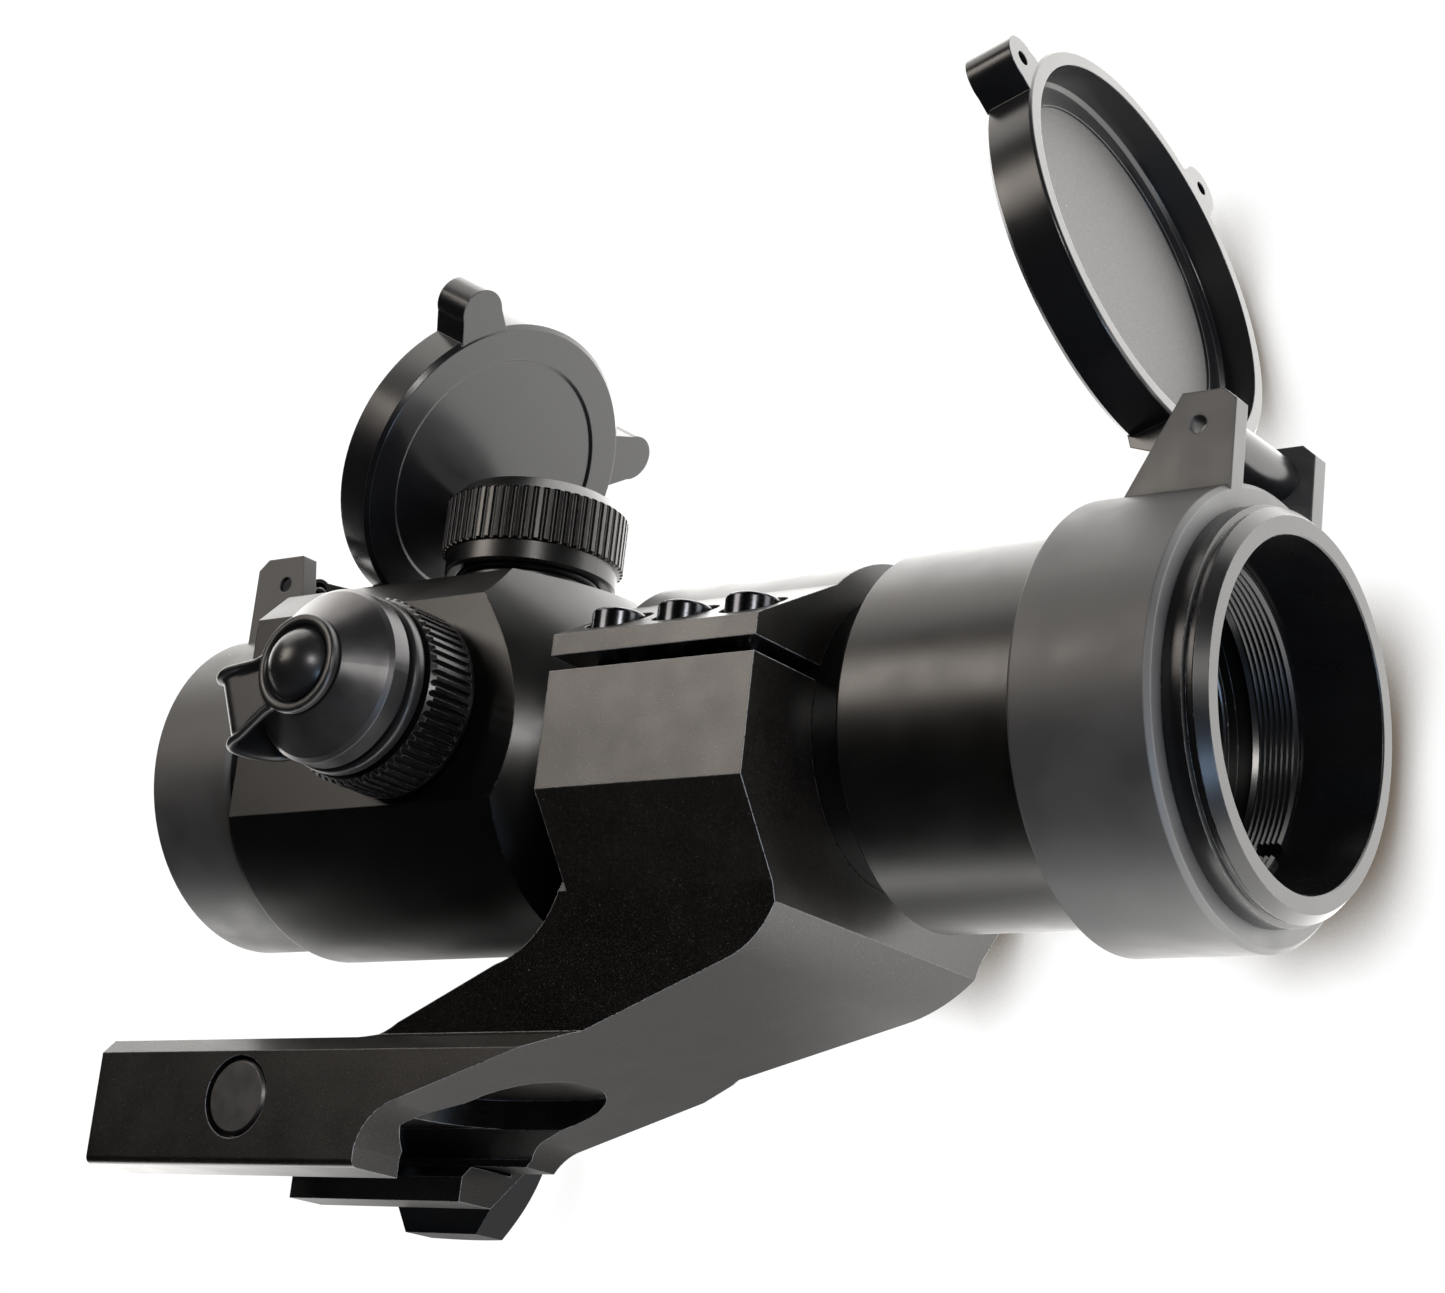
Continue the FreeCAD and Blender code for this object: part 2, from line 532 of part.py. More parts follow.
def make_knob():
    core = turned("knob_core", [
        ("0", "flat_side - 3.2"), ("5.0", "flat_side - 3.2"), ("5.0", "flat_side + 0.02"),
        ("8.4", "flat_side + 0.02"), ("8.4", "flat_side + 0.7"), ("7.3", "flat_side + 0.7"),
        ("7.3", "flat_side + 12.4"), ("6.2", "flat_side + 12.4"), ("6.2", "flat_side + 0.9"),
        ("0", "flat_side + 0.9")], "V_Axis")
    place_stud(core, "right")
    board = turned("switch_board", [
        ("7.35", "flat_side + 0.72"), ("9.0", "flat_side + 0.72"), ("9.0", "flat_side + 0.95"),
        ("7.35", "flat_side + 0.95")], "V_Axis")
    place_stud(board, "right")
    dial = turned("brightness_dial", [
        ("7.38", "flat_side + 1.3"), ("9.7", "flat_side + 1.3"), ("dial_radius", "flat_side + 1.7"),
        ("dial_radius", "flat_side + 7.5"), ("dial_radius - 0.5", "flat_side + 8.0"),
        ("7.38", "flat_side + 8.0")], "V_Axis")
    flutes(dial, "flat_side + 2.2", "flat_side + 8.1", "dial_radius")
    place_stud(dial, "right")
    spring = solid_group("battery_spring", coil(3.4, 0.2, 0.9, 1.5))
    place(spring, ("rim_ahead - knob_back", "-(flat_side + 1.15)", "axis_height + knob_up"), (1, 0, 0), "90")
    cell = turned("battery", [
        ("0", "flat_side + 2.3"), ("4.4", "flat_side + 2.3"), ("4.6", "flat_side + 2.7"),
        ("5.6", "flat_side + 2.7"), ("5.8", "flat_side + 3.0"), ("5.8", "flat_side + 12.0"),
        ("5.5", "flat_side + 12.3"), ("0", "flat_side + 12.3")], "V_Axis")
    place_stud(cell, "right")
    cap = turned("battery_cap", [
        ("7.38", "flat_side + 8.4"), ("8.1", "flat_side + 8.4"), ("8.1", "flat_side + 10.5"),
        ("9.0", "flat_side + 10.6"), ("9.3", "flat_side + 10.9"), ("9.3", "flat_side + 13.0"),
        ("8.9", "flat_side + 13.5"), ("5.2", "flat_side + 16.5"), ("2.5", "flat_side + 16.5"),
        ("2.5", "flat_side + 14.8"), ("0", "flat_side + 14.8"), ("0", "flat_side + 12.9"),
        ("7.38", "flat_side + 12.9")], "V_Axis")
    place_stud(cap, "right")
    stud = turned("cap_stud", [
        ("0", "flat_side + 14.85"), ("2.45", "flat_side + 14.85"), ("2.45", "flat_side + 17.4"),
        ("3.9", "flat_side + 17.4", dome("3.9", "2.4")), ("0", "flat_side + 19.8")], "V_Axis")
    place_stud(stud, "right")
    make_strap()


def make_strap():
    """Rubber tether: ring in the cap's groove, band that bends back to a loop under the stud's head."""
    strap = body("cap_strap")
    side = new_sketch(strap, "strap_band_side", "XZ_Plane")
    outline(side, [
        ("-4.3", "flat_side + 17.7"), ("-9.6", "flat_side + 17.7", "2.4"), ("-12.0", "flat_side + 15.3"),
        ("-12.0", "flat_side + 12.3", "4.0"), ("-8.8", "flat_side + 8.8"), ("-8.8", "flat_side + 9.8"),
        ("-10.9", "flat_side + 12.3"), ("-10.9", "flat_side + 15.3", "-1.3"), ("-9.6", "flat_side + 16.6"),
        ("-4.3", "flat_side + 16.6")])
    pad(strap, side, "8.8", both_sides=True)
    waist = new_sketch(strap, "strap_waist", "XY_Plane", "flat_side + 16")
    for way in (1, -1):
        outline(waist, [("-2", "%d * 3.2" % way), ("-5.2", "%d * 3.2" % way), ("-8.0", "%d * 4.4" % way),
                        ("-8.0", "%d * 6" % way), ("-2", "%d * 6" % way)])
    pocket(strap, waist, "3", other_way=True)
    loop = new_sketch(strap, "strap_loop", "XY_Plane", "flat_side + 16.6")
    disc(loop, "0", "0", "5.2")
    disc(loop, "0", "0", "2.6")
    pad(strap, loop, "1.1")
    ring = new_sketch(strap, "strap_ring", "XY_Plane", "flat_side + 8.55")
    disc(ring, "0", "0", "9.6")
    disc(ring, "0", "0", "8.2")
    pad(strap, ring, "1.6")
    hollow = new_sketch(strap, "strap_hollow", "XY_Plane", "flat_side + 17.25")
    disc(hollow, "0", "0", "4.35")
    pocket(strap, hollow, "2", other_way=True)
    tray = new_sketch(strap, "strap_tray", "XY_Plane", "flat_side + 17.3")
    outline(tray, [("-4.9", "-2.2"), ("-4.9", "2.2"), ("-8.0", "3.5"), ("-9.6", "3.5"), ("-9.6", "-3.5"),
                   ("-8.0", "-3.5")])
    pocket(strap, tray, "2", other_way=True)
    place_stud(strap, "right", "22")


# ---------------------------------------------------------------- inner tube

def pivots(name, inner, outer, axis, angle):
    """Two pivot pins on one line across the tube, drawn along Z and turned into place."""
    low = number(inner)
    length = number(outer) - low
    pins = [Part.makeCylinder(number("pivot_radius"), length, FreeCAD.Vector(0, 0, start))
            for start in (low, -low - length)]
    group = solid_group(name, Part.makeCompound(pins))
    place(group, ("rim_ahead - gimbal_back", "0", "axis_height"), axis, angle)


def make_inner_tube():
    """Aiming tube that the turret screws tilt, hung in a gimbal ring at its front."""
    ring = turned("gimbal_ring", [
        ("-gimbal_back - 2.5", "inner_radius + 0.35"), ("-gimbal_back - 2.5", "tube_bore - 0.45"),
        ("-gimbal_back + 2.5", "tube_bore - 0.45"), ("-gimbal_back + 2.5", "inner_radius + 0.35")])
    side_holes = new_sketch(ring, "gimbal_side_holes", "XZ_Plane")
    disc(side_holes, "-gimbal_back", "0", "pivot_radius + pin_play")
    pocket(ring, side_holes, "2 * tube_radius", both_sides=True)
    top_holes = new_sketch(ring, "gimbal_top_holes", "XY_Plane")
    disc(top_holes, "-gimbal_back", "0", "pivot_radius + 0.02")
    pocket(ring, top_holes, "2 * tube_radius", both_sides=True)
    place_on_tube(ring)
    pivots("gimbal_side_pins", "inner_radius + 0.5", "tube_radius - 0.4", (1, 0, 0), "90")
    pivots("gimbal_top_pins", "inner_radius - inner_wall + 0.1", "tube_bore - 0.6", (1, 0, 0), "0")
    tube = turned("inner_tube", [
        ("-gimbal_back + 5", "inner_radius - inner_wall"), ("-gimbal_back + 5", "inner_radius"),
        ("-inner_back", "inner_radius"), ("-inner_back", "inner_radius - inner_wall")])
    top_bearings = new_sketch(tube, "tube_top_bearings", "XY_Plane")
    disc(top_bearings, "-gimbal_back", "0", "pivot_radius + pin_play")
    pocket(tube, top_bearings, "2 * tube_radius", both_sides=True)
    place_on_tube(tube)
    lens = turned("reflector_lens", [
        ("-gimbal_back + 1.8", "0"), ("-gimbal_back + 1.8", "inner_radius - inner_wall - 0.02"),
        ("-gimbal_back + 4.4", "inner_radius - inner_wall - 0.02",
         "-%s" % dome("(inner_radius - inner_wall - 0.02)", "0.8")),
        ("-gimbal_back + 5.2", "0")])
    place_on_tube(lens)
    holder = body("emitter_holder")
    foot = new_sketch(holder, "holder_section", "YZ_Plane", "-inner_back + 2")
    inside = "inner_radius - inner_wall - 0.02"
    chord = "-sqrt((%s) * (%s) - 9)" % (inside, inside)
    outline(foot, [("-3", chord, inside), ("3", chord), ("3", "-6.2"), ("-3", "-6.2")])
    pad(holder, foot, "4")
    place_on_tube(holder)
    emitter = body("emitter")
    lamp = new_sketch(emitter, "lamp_section", "YZ_Plane", "-inner_back + 6.02")
    disc(lamp, "0", "-7.6", "0.75")
    pad(emitter, lamp, "1.1")
    place_on_tube(emitter)
    leaf = body("bias_spring")
    side = new_sketch(leaf, "leaf_side", "XZ_Plane")
    outline(side, [
        ("-88", "-tube_bore + 0.1"), ("-87.7", "-tube_bore + 0.5"), ("-94.4", "-inner_radius - 0.9"),
        ("-101.1", "-tube_bore + 0.5"), ("-100.8", "-tube_bore + 0.1"), ("-94.4", "-inner_radius - 1.25")])
    pad(leaf, side, "3", both_sides=True)
    place_on_tube(leaf)


# ---------------------------------------------------------------- ring mount

def rail_channel():
    """Section of the rail channel: seat, claw flank on the right, straight wall on the left."""
    vee = "-axis_height - rail_vee"
    reach = "rail_half + rail_vee"
    return [
        ("-rail_half", "-axis_height"), ("rail_half", "-axis_height"), (reach, vee),
        (reach, "-claw_foot + 4.3"), ("clamp_half + 1", "-claw_foot + 4.3"),
        ("clamp_half + 1", "-claw_foot - 1"),
        ("-claw_tip", "-claw_foot - 1"), ("-claw_tip", "-axis_height - rail_vee - (%s - claw_tip)" % reach),
        ("-(%s)" % reach, vee)]


def make_mount_base():
    base = body("mount_base")
    block = new_sketch(base, "lower_ring", "YZ_Plane", "-mount_back")
    half = [("flange_half", "split_low"), ("flange_half", "-ridge_drop"), ("waist_half", "-waist_drop"),
            ("waist_half - 0.7", "-ring_bottom")]
    outline(block, half + [("-(%s)" % across, up) for across, up in reversed(half)])
    pad(base, block, "mount_back - mount_front")
    arm = new_sketch(base, "arm_side", "XZ_Plane")
    outline(arm, [
        ("-mount_front", "-ring_bottom + 4"), ("-mount_front", "-ring_bottom", "-13"),
        ("-51.2", "-24.9"), ("-92.5", "-38.6", "6.5"), ("-96.5", "-43.2"), ("-100", "-43.2"),
        ("-104", "-clamp_top"), ("-99.5", "-clamp_top", "14"), ("-94.5", "-30.0"), ("-80.2", "-24.7", "16"),
        ("-70.9", "-18.4"), ("-mount_back", "-ring_bottom + 4")])
    pad(base, arm, "2 * waist_half", both_sides=True)
    clamp = new_sketch(base, "clamp_section", "YZ_Plane", "-foot_back")
    outline(clamp, [
        ("clamp_half - 1.6", "-clamp_top"), ("clamp_half", "-clamp_top - 1.6"),
        ("clamp_half", "-claw_foot + 1"), ("clamp_half", "-claw_foot"),
        ("-clamp_half + 0.8", "-claw_foot", "-0.8"), ("-clamp_half", "-claw_foot + 0.8"),
        ("-clamp_half", "-clamp_top - 1.6"), ("-clamp_half + 1.6", "-clamp_top")])
    pad(base, clamp, "foot_back - foot_front")
    sides = new_sketch(base, "arm_taper", "YZ_Plane", "-rim_ahead")
    for side in (1, -1):
        outline(sides, [
            ("%d * 40" % side, "-waist_drop"), ("%d * waist_half" % side, "-waist_drop"),
            ("%d * arm_waist" % side, "-clamp_top + 0.4"), ("%d * (clamp_half - 1.6)" % side, "-clamp_top"),
            ("%d * clamp_half" % side, "-clamp_top - 1.6"), ("%d * clamp_half" % side, "-60"),
            ("%d * 40" % side, "-60")])
    pocket(base, sides, "rim_ahead", other_way=True)
    bore = new_sketch(base, "ring_bore", "YZ_Plane", "-rim_ahead")
    disc(bore, "0", "0", "tube_radius + ring_fit")
    pocket(base, bore, "rim_ahead", other_way=True)
    bell_room = new_sketch(base, "housing_room", "XZ_Plane")
    outline(bell_room, [("-mount_back - 30", "belly_radius + 0.6"),
                        ("-mount_back - 0.01", "belly_radius + 0.6"),
                        ("-mount_back - 0.01", "0"), ("-mount_back - 30", "0")])
    groove(base, bell_room, "H_Axis")
    channel = new_sketch(base, "rail_channel", "YZ_Plane", "-foot_back - 1")
    outline(channel, rail_channel())
    pocket(base, channel, "rim_ahead", other_way=True)
    window = new_sketch(base, "rail_window", "XY_Plane", "-60")
    outline(window, [
        ("-window_front", "-window_radius", "window_radius"),
        ("-window_front + window_radius", "0", "window_radius"), ("-window_front", "window_radius"),
        ("-window_back", "window_radius", "window_radius"),
        ("-window_back - window_radius", "0", "window_radius"), ("-window_back", "-window_radius")])
    pocket(base, window, "60 - window_roof", other_way=True)
    relief = new_sketch(base, "bolt_relief", "XY_Plane", "-60")
    back = "-rim_ahead + bolt_ahead - bolt_radius - 0.3"
    ahead = "-rim_ahead + bolt_ahead + bolt_radius + 0.3"
    outline(relief, [(back, "-rail_half"), (ahead, "-rail_half"), (ahead, "rail_half"), (back, "rail_half")])
    pocket(base, relief, "60 - axis_height + 0.6", other_way=True)
    cross = new_sketch(base, "bolt_hole", "XZ_Plane")
    disc(cross, "-rim_ahead + bolt_ahead", "-bolt_drop", "bolt_radius + 0.1")
    pocket(base, cross, "4 * clamp_half", both_sides=True)
    recess = new_sketch(base, "bolt_recess", "XZ_Plane", "clamp_half - 2.4")
    disc(recess, "-rim_ahead + bolt_ahead", "-bolt_drop", "bolt_head + 0.4")
    pocket(base, recess, "6", other_way=True)
    threads = new_sketch(base, "screw_threads", "XY_Plane", "split_low + 1")
    screw_holes(threads, "screw_shank + 0.05")
    pocket(base, threads, "screw_reach + 1")
    place_on_tube(base)


def screw_stations():
    middle = "-(mount_front + mount_back) / 2"
    return [(middle + " + %d * screw_pitch" % step, "%d * screw_side" % side)
            for side in (1, -1) for step in (-1, 0, 1)]


def screw_holes(sketch, radius):
    for across, up in screw_stations():
        disc(sketch, across, up, radius)


def make_ring_cap():
    cap = body("ring_cap")
    foot = "split_low + split_gap"
    shelf = foot + " + flange_thick"
    block = new_sketch(cap, "cap_section", "YZ_Plane", "-mount_back")
    shoulder = "cap_radius * 0.7071"
    outline(block, [
        ("-flange_half", foot), ("flange_half", foot), ("flange_half", shelf),
        (shoulder, shoulder, "cap_radius"), ("-" + shoulder, shoulder), ("-flange_half", shelf)])
    pad(cap, block, "mount_back - mount_front")
    bore = new_sketch(cap, "cap_bore", "YZ_Plane", "-rim_ahead")
    disc(bore, "0", "0", "tube_radius + ring_fit")
    pocket(cap, bore, "rim_ahead", other_way=True)
    seats = new_sketch(cap, "screw_seats", "XY_Plane", shelf)
    screw_holes(seats, "screw_head + 0.55")
    pocket(cap, seats, "20", other_way=True)
    holes = new_sketch(cap, "screw_clearance", "XY_Plane", shelf + " + 1")
    screw_holes(holes, "screw_shank + 0.15")
    pocket(cap, holes, "10")
    place_on_tube(cap)


def hex_prism(across_flats, low, high):
    corner = across_flats / math.sqrt(3)
    angles = [math.radians(60 * step) for step in range(7)]
    points = [FreeCAD.Vector(corner * math.cos(a), corner * math.sin(a), low) for a in angles]
    return Part.Face(Part.makePolygon(points)).extrude(FreeCAD.Vector(0, 0, high - low))


def make_ring_screws():
    """Six socket head screws as one group of separate solids."""
    seat = number("split_low + split_gap + flange_thick")
    head = number("screw_head")
    tall = number("screw_tall")
    screws = []
    for across, side in screw_stations():
        top = Part.makeCylinder(head, tall, FreeCAD.Vector(0, 0, 0.02))
        top = top.makeFillet(0.45, [top.Edges[0]]) if top.Edges[0].BoundBox.ZMin > 1 else top
        shank = Part.makeCylinder(number("screw_shank"), number("screw_reach"),
                                  FreeCAD.Vector(0, 0, -number("screw_reach") + 0.1))
        screw = top.fuse(shank).cut(hex_prism(2.5, tall - 1.6, tall + 1))
        screw.translate(FreeCAD.Vector(number(across), number(side), seat))
        screws.append(screw.Solids[0])
    group = solid_group("ring_screws", Part.makeCompound(screws))
    place_on_tube(group)


def make_clamp():
    jaw = body("clamp_jaw")
    face = "clamp_half + 0.3"
    outer = "clamp_half + 0.3 + jaw_thick"
    tip = "claw_tip - 0.7"
    reach = "rail_half + rail_vee"
    sketch = new_sketch(jaw, "jaw_section", "YZ_Plane", "-rim_ahead + jaw_ahead - jaw_length / 2")
    outline(sketch, [
        (tip, "-claw_foot"), (tip + " + 5.3", "-claw_foot"), (outer, "-claw_foot + 6.0"),
        (outer, "-clamp_top - 3.4"), (outer + " - 1.2", "-clamp_top - 2.2"), (face, "-clamp_top - 2.2"),
        (face, "-claw_foot + 4.0"), (tip + " + 1.3", "-claw_foot + 4.0"), (tip, "-claw_foot + 2.7")])
    pad(jaw, sketch, "jaw_length")
    hole = new_sketch(jaw, "jaw_hole", "XZ_Plane")
    disc(hole, "-rim_ahead + bolt_ahead", "-bolt_drop", "bolt_radius + 0.08")
    pocket(jaw, hole, "4 * clamp_half", both_sides=True)
    place_on_tube(jaw)
    bolt = turned("clamp_bolt", [
        ("0", "-clamp_half + 0.05"), ("bolt_head - 0.3", "-clamp_half + 0.05"),
        ("bolt_head", "-clamp_half + 0.35"),
        ("bolt_head", "-clamp_half + 2.35"), ("bolt_radius", "-clamp_half + 2.35"),
        ("bolt_radius", outer + " + nut_thick + 0.9"), ("bolt_radius - 0.5", outer + " + nut_thick + 1.4"),
        ("0", outer + " + nut_thick + 1.4")], "V_Axis")
    place_bolt(bolt)
    nut = body("clamp_nut")
    hexagon = new_sketch(nut, "nut_hexagon", "XY_Plane", outer + " + 0.1")
    outline(hexagon, [("nut_flat / sqrt(3) * cos(%d)" % angle, "nut_flat / sqrt(3) * sin(%d)" % angle)
                      for angle in range(0, 360, 60)])
    disc(hexagon, "0", "0", "bolt_radius + 0.06")
    pad(nut, hexagon, "nut_thick")
    bevel = new_sketch(nut, "nut_bevel", "XZ_Plane")
    top = outer + " + 0.1 + nut_thick"
    outline(bevel, [("nut_flat / 2", top), ("nut_flat / 2 + 3", top), ("nut_flat / 2 + 3", top + " - 1.7")])
    groove(nut, bevel, "V_Axis")
    place_bolt(nut)


def place_bolt(piece):
    """Carry a piece drawn about local Z to the clamp bolt's axis, local +Z towards the left."""
    place(piece, ("bolt_ahead", "0", "axis_height - bolt_drop"), (1, 0, 0), "-90")


# ---------------------------------------------------------------- assembly

make_main_tube()
make_front_end()
make_objective_baffle()
make_rear_end()
make_cover("front", "front_cover_front", "front_cover_back", "front_cover_radius", "bell_radius + 0.05",
           "front_hinge_back", "front_hinge_up", 1, "4.1")
make_cover("rear", "rear_cover_front", "rear_cover_back", "rear_cover_radius", "neck_radius + 0.05",
           "rear_hinge_back", "rear_hinge_up", -1, "ear_outer - 0.3")
make_lid("front", "(-front_cover_front + lid_gap)", "front_cover_radius", "front_lid_depth",
         "front_hinge_back", "front_hinge_up", "front_lug_reach", "-front_lug_twist", 1, "-front_lid_open")
make_lid("rear", "(-rear_cover_back - lid_gap)", "rear_cover_radius", "rear_lid_depth",
         "rear_hinge_back", "rear_hinge_up", "rear_lug_reach", "rear_lug_twist", -1, "rear_lid_open")
make_hinge_spring("front", "front_hinge_back", "front_hinge_up")
make_hinge_spring("rear", "rear_hinge_back", "rear_hinge_up")
make_turret("elevation", "top", "flat_top")
make_turret("windage", "left", "flat_side")
make_knob()
make_inner_tube()
make_mount_base()
make_ring_cap()
make_ring_screws()
make_clamp()
doc.recompute()

faults = [item.Name for item in doc.Objects if "Invalid" in item.State or "Error" in item.State]
if faults:
    raise RuntimeError("failed objects: " + ", ".join(faults))
os.makedirs("parts", exist_ok=True)
for piece in pieces:
    shape = piece.Shape
    if shape.isNull() or not shape.isValid():
        raise RuntimeError("bad shape: " + piece.Label)
    print("%-26s solids %d  volume %9.1f" % (piece.Label, len(shape.Solids), shape.Volume))
    shape.exportStep(os.path.join("parts", piece.Label + ".step"))
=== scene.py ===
import math

import bmesh
import bpy
from mathutils import Matrix, Vector


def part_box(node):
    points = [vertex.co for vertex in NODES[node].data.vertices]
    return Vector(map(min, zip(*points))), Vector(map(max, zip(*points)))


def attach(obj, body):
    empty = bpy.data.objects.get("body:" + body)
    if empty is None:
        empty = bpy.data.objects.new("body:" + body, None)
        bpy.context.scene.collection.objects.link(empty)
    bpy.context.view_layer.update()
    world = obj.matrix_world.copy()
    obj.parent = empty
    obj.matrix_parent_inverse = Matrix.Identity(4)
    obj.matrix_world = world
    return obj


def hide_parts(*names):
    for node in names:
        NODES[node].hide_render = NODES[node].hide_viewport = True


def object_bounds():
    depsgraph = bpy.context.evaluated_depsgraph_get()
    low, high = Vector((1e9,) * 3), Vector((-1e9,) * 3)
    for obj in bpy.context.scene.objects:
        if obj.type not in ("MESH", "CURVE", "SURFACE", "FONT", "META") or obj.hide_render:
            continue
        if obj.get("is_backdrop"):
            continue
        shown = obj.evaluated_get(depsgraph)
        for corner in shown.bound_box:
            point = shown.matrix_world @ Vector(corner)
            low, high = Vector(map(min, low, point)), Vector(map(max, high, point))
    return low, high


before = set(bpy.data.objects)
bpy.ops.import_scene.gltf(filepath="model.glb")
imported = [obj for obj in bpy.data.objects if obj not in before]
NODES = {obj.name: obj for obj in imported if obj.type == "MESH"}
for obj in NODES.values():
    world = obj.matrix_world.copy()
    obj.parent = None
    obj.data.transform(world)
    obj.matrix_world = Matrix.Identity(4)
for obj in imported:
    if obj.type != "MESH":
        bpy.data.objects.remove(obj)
low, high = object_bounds()
cad_box = [list(low), list(high)]

MM = 0.001
AXIS_HEIGHT = 37.3 * MM
FRONT_LID_OPEN = 197.8
REAR_LID_OPEN = 208.3
STRAP_SPIN = 22.0
# The front disc shades are a painted sheen: pale greys stand in for light glancing off the black grained
# disc. The rear disc shades are that disc's own dark colour.
FRONT_DISC_PAINTED_SHEEN = ((0.045, 0.044, 0.043), (0.085, 0.083, 0.081))
REAR_SAND = ((0.006, 0.006, 0.007), (0.011, 0.011, 0.012))


# ------------------------------------------------------------------ material building

class Coat:
    """One procedural material, built node by node around a Principled shader."""

    def __init__(self, name):
        self.material = bpy.data.materials.new(name)
        self.material.use_nodes = True
        self.tree = self.material.node_tree
        self.tree.nodes.clear()
        self.shader = self.add("ShaderNodeBsdfPrincipled")
        output = self.add("ShaderNodeOutputMaterial")
        self.tree.links.new(self.shader.outputs["BSDF"], output.inputs["Surface"])
        self.place = self.add("ShaderNodeTexCoord").outputs["Object"]

    def add(self, kind, **settings):
        node = self.tree.nodes.new(kind)
        for key, value in settings.items():
            setattr(node, key, value)
        return node

    def join(self, source, target):
        self.tree.links.new(source, target)

    def set(self, **values):
        """Uniform values straight on the shader's sockets."""
        for key, value in values.items():
            self.shader.inputs[key.replace("_", " ")].default_value = value

    def noise(self, size, detail=3.0, stretch=(1, 1, 1), roughness=0.5):
        """Noise whose features are about size metres across."""
        mapping = self.add("ShaderNodeMapping")
        mapping.inputs["Scale"].default_value = stretch
        self.join(self.place, mapping.inputs["Vector"])
        texture = self.add("ShaderNodeTexNoise")
        texture.inputs["Scale"].default_value = 1.0 / size
        texture.inputs["Detail"].default_value = detail
        texture.inputs["Roughness"].default_value = roughness
        self.join(mapping.outputs["Vector"], texture.inputs["Vector"])
        return texture.outputs["Fac"]

    def remap(self, value, low_in, high_in, low_out, high_out):
        ranged = self.add("ShaderNodeMapRange")
        ranged.clamp = True
        for socket, number in (("From Min", low_in), ("From Max", high_in),
                               ("To Min", low_out), ("To Max", high_out)):
            ranged.inputs[socket].default_value = number
        self.join(value, ranged.inputs["Value"])
        return ranged.outputs["Result"]

    def math(self, operation, first, second):
        node = self.add("ShaderNodeMath", operation=operation)
        for socket, value in zip(node.inputs, (first, second)):
            if isinstance(value, (int, float)):
                socket.default_value = value
            else:
                self.join(value, socket)
        return node.outputs["Value"]

    def blend(self, amount, first, second):
        """Mix two colours; each is a tuple or a socket."""
        node = self.add("ShaderNodeMix", data_type="RGBA")
        self.join(amount, node.inputs["Factor"])
        for socket, value in ((node.inputs[6], first), (node.inputs[7], second)):
            if isinstance(value, tuple):
                socket.default_value = value + (1.0,)
            else:
                self.join(value, socket)
        return node.outputs[2]

    def mix_value(self, amount, first, second):
        node = self.add("ShaderNodeMix", data_type="FLOAT")
        self.join(amount, node.inputs["Factor"])
        for socket, value in ((node.inputs[2], first), (node.inputs[3], second)):
            if isinstance(value, (int, float)):
                socket.default_value = value
            else:
                self.join(value, socket)
        return node.outputs[0]

    def specks(self, spacing, size, share, seed=0.0):
        """Mask of small sparse dots: one to a cell, in the given share of the cells."""
        mapping = self.add("ShaderNodeMapping")
        mapping.inputs["Location"].default_value = (seed, seed * 0.7, seed * 1.3)
        self.join(self.place, mapping.inputs["Vector"])
        cells = self.add("ShaderNodeTexVoronoi")
        cells.inputs["Scale"].default_value = 1.0 / spacing
        self.join(mapping.outputs["Vector"], cells.inputs["Vector"])
        near = self.remap(cells.outputs["Distance"], size / spacing * 0.5, size / spacing, 1.0, 0.0)
        split = self.add("ShaderNodeSeparateColor")
        self.join(cells.outputs["Color"], split.inputs["Color"])
        chosen = self.math("LESS_THAN", split.outputs["Red"], share)
        return self.math("MULTIPLY", near, chosen)

    def edges(self, radius):
        """Rounded normal for CAD edges, and a mask that is 1 on sharp outer edges."""
        bevel = self.add("ShaderNodeBevel", samples=6)
        bevel.inputs["Radius"].default_value = radius
        geometry = self.add("ShaderNodeNewGeometry")
        turn = self.add("ShaderNodeVectorMath", operation="DOT_PRODUCT")
        self.join(bevel.outputs["Normal"], turn.inputs[0])
        self.join(geometry.outputs["Normal"], turn.inputs[1])
        sharp = self.remap(turn.outputs["Value"], 0.80, 0.985, 1.0, 0.0)
        return bevel.outputs["Normal"], sharp

    def bump(self, layers, normal=None):
        """Stack height layers, each (height socket, depth in metres, strength)."""
        for height, depth, strength in layers:
            node = self.add("ShaderNodeBump")
            node.inputs["Strength"].default_value = strength
            node.inputs["Distance"].default_value = depth
            self.join(height, node.inputs["Height"])
            if normal is not None:
                self.join(normal, node.inputs["Normal"])
            normal = node.outputs["Normal"]
        self.join(normal, self.shader.inputs["Normal"])


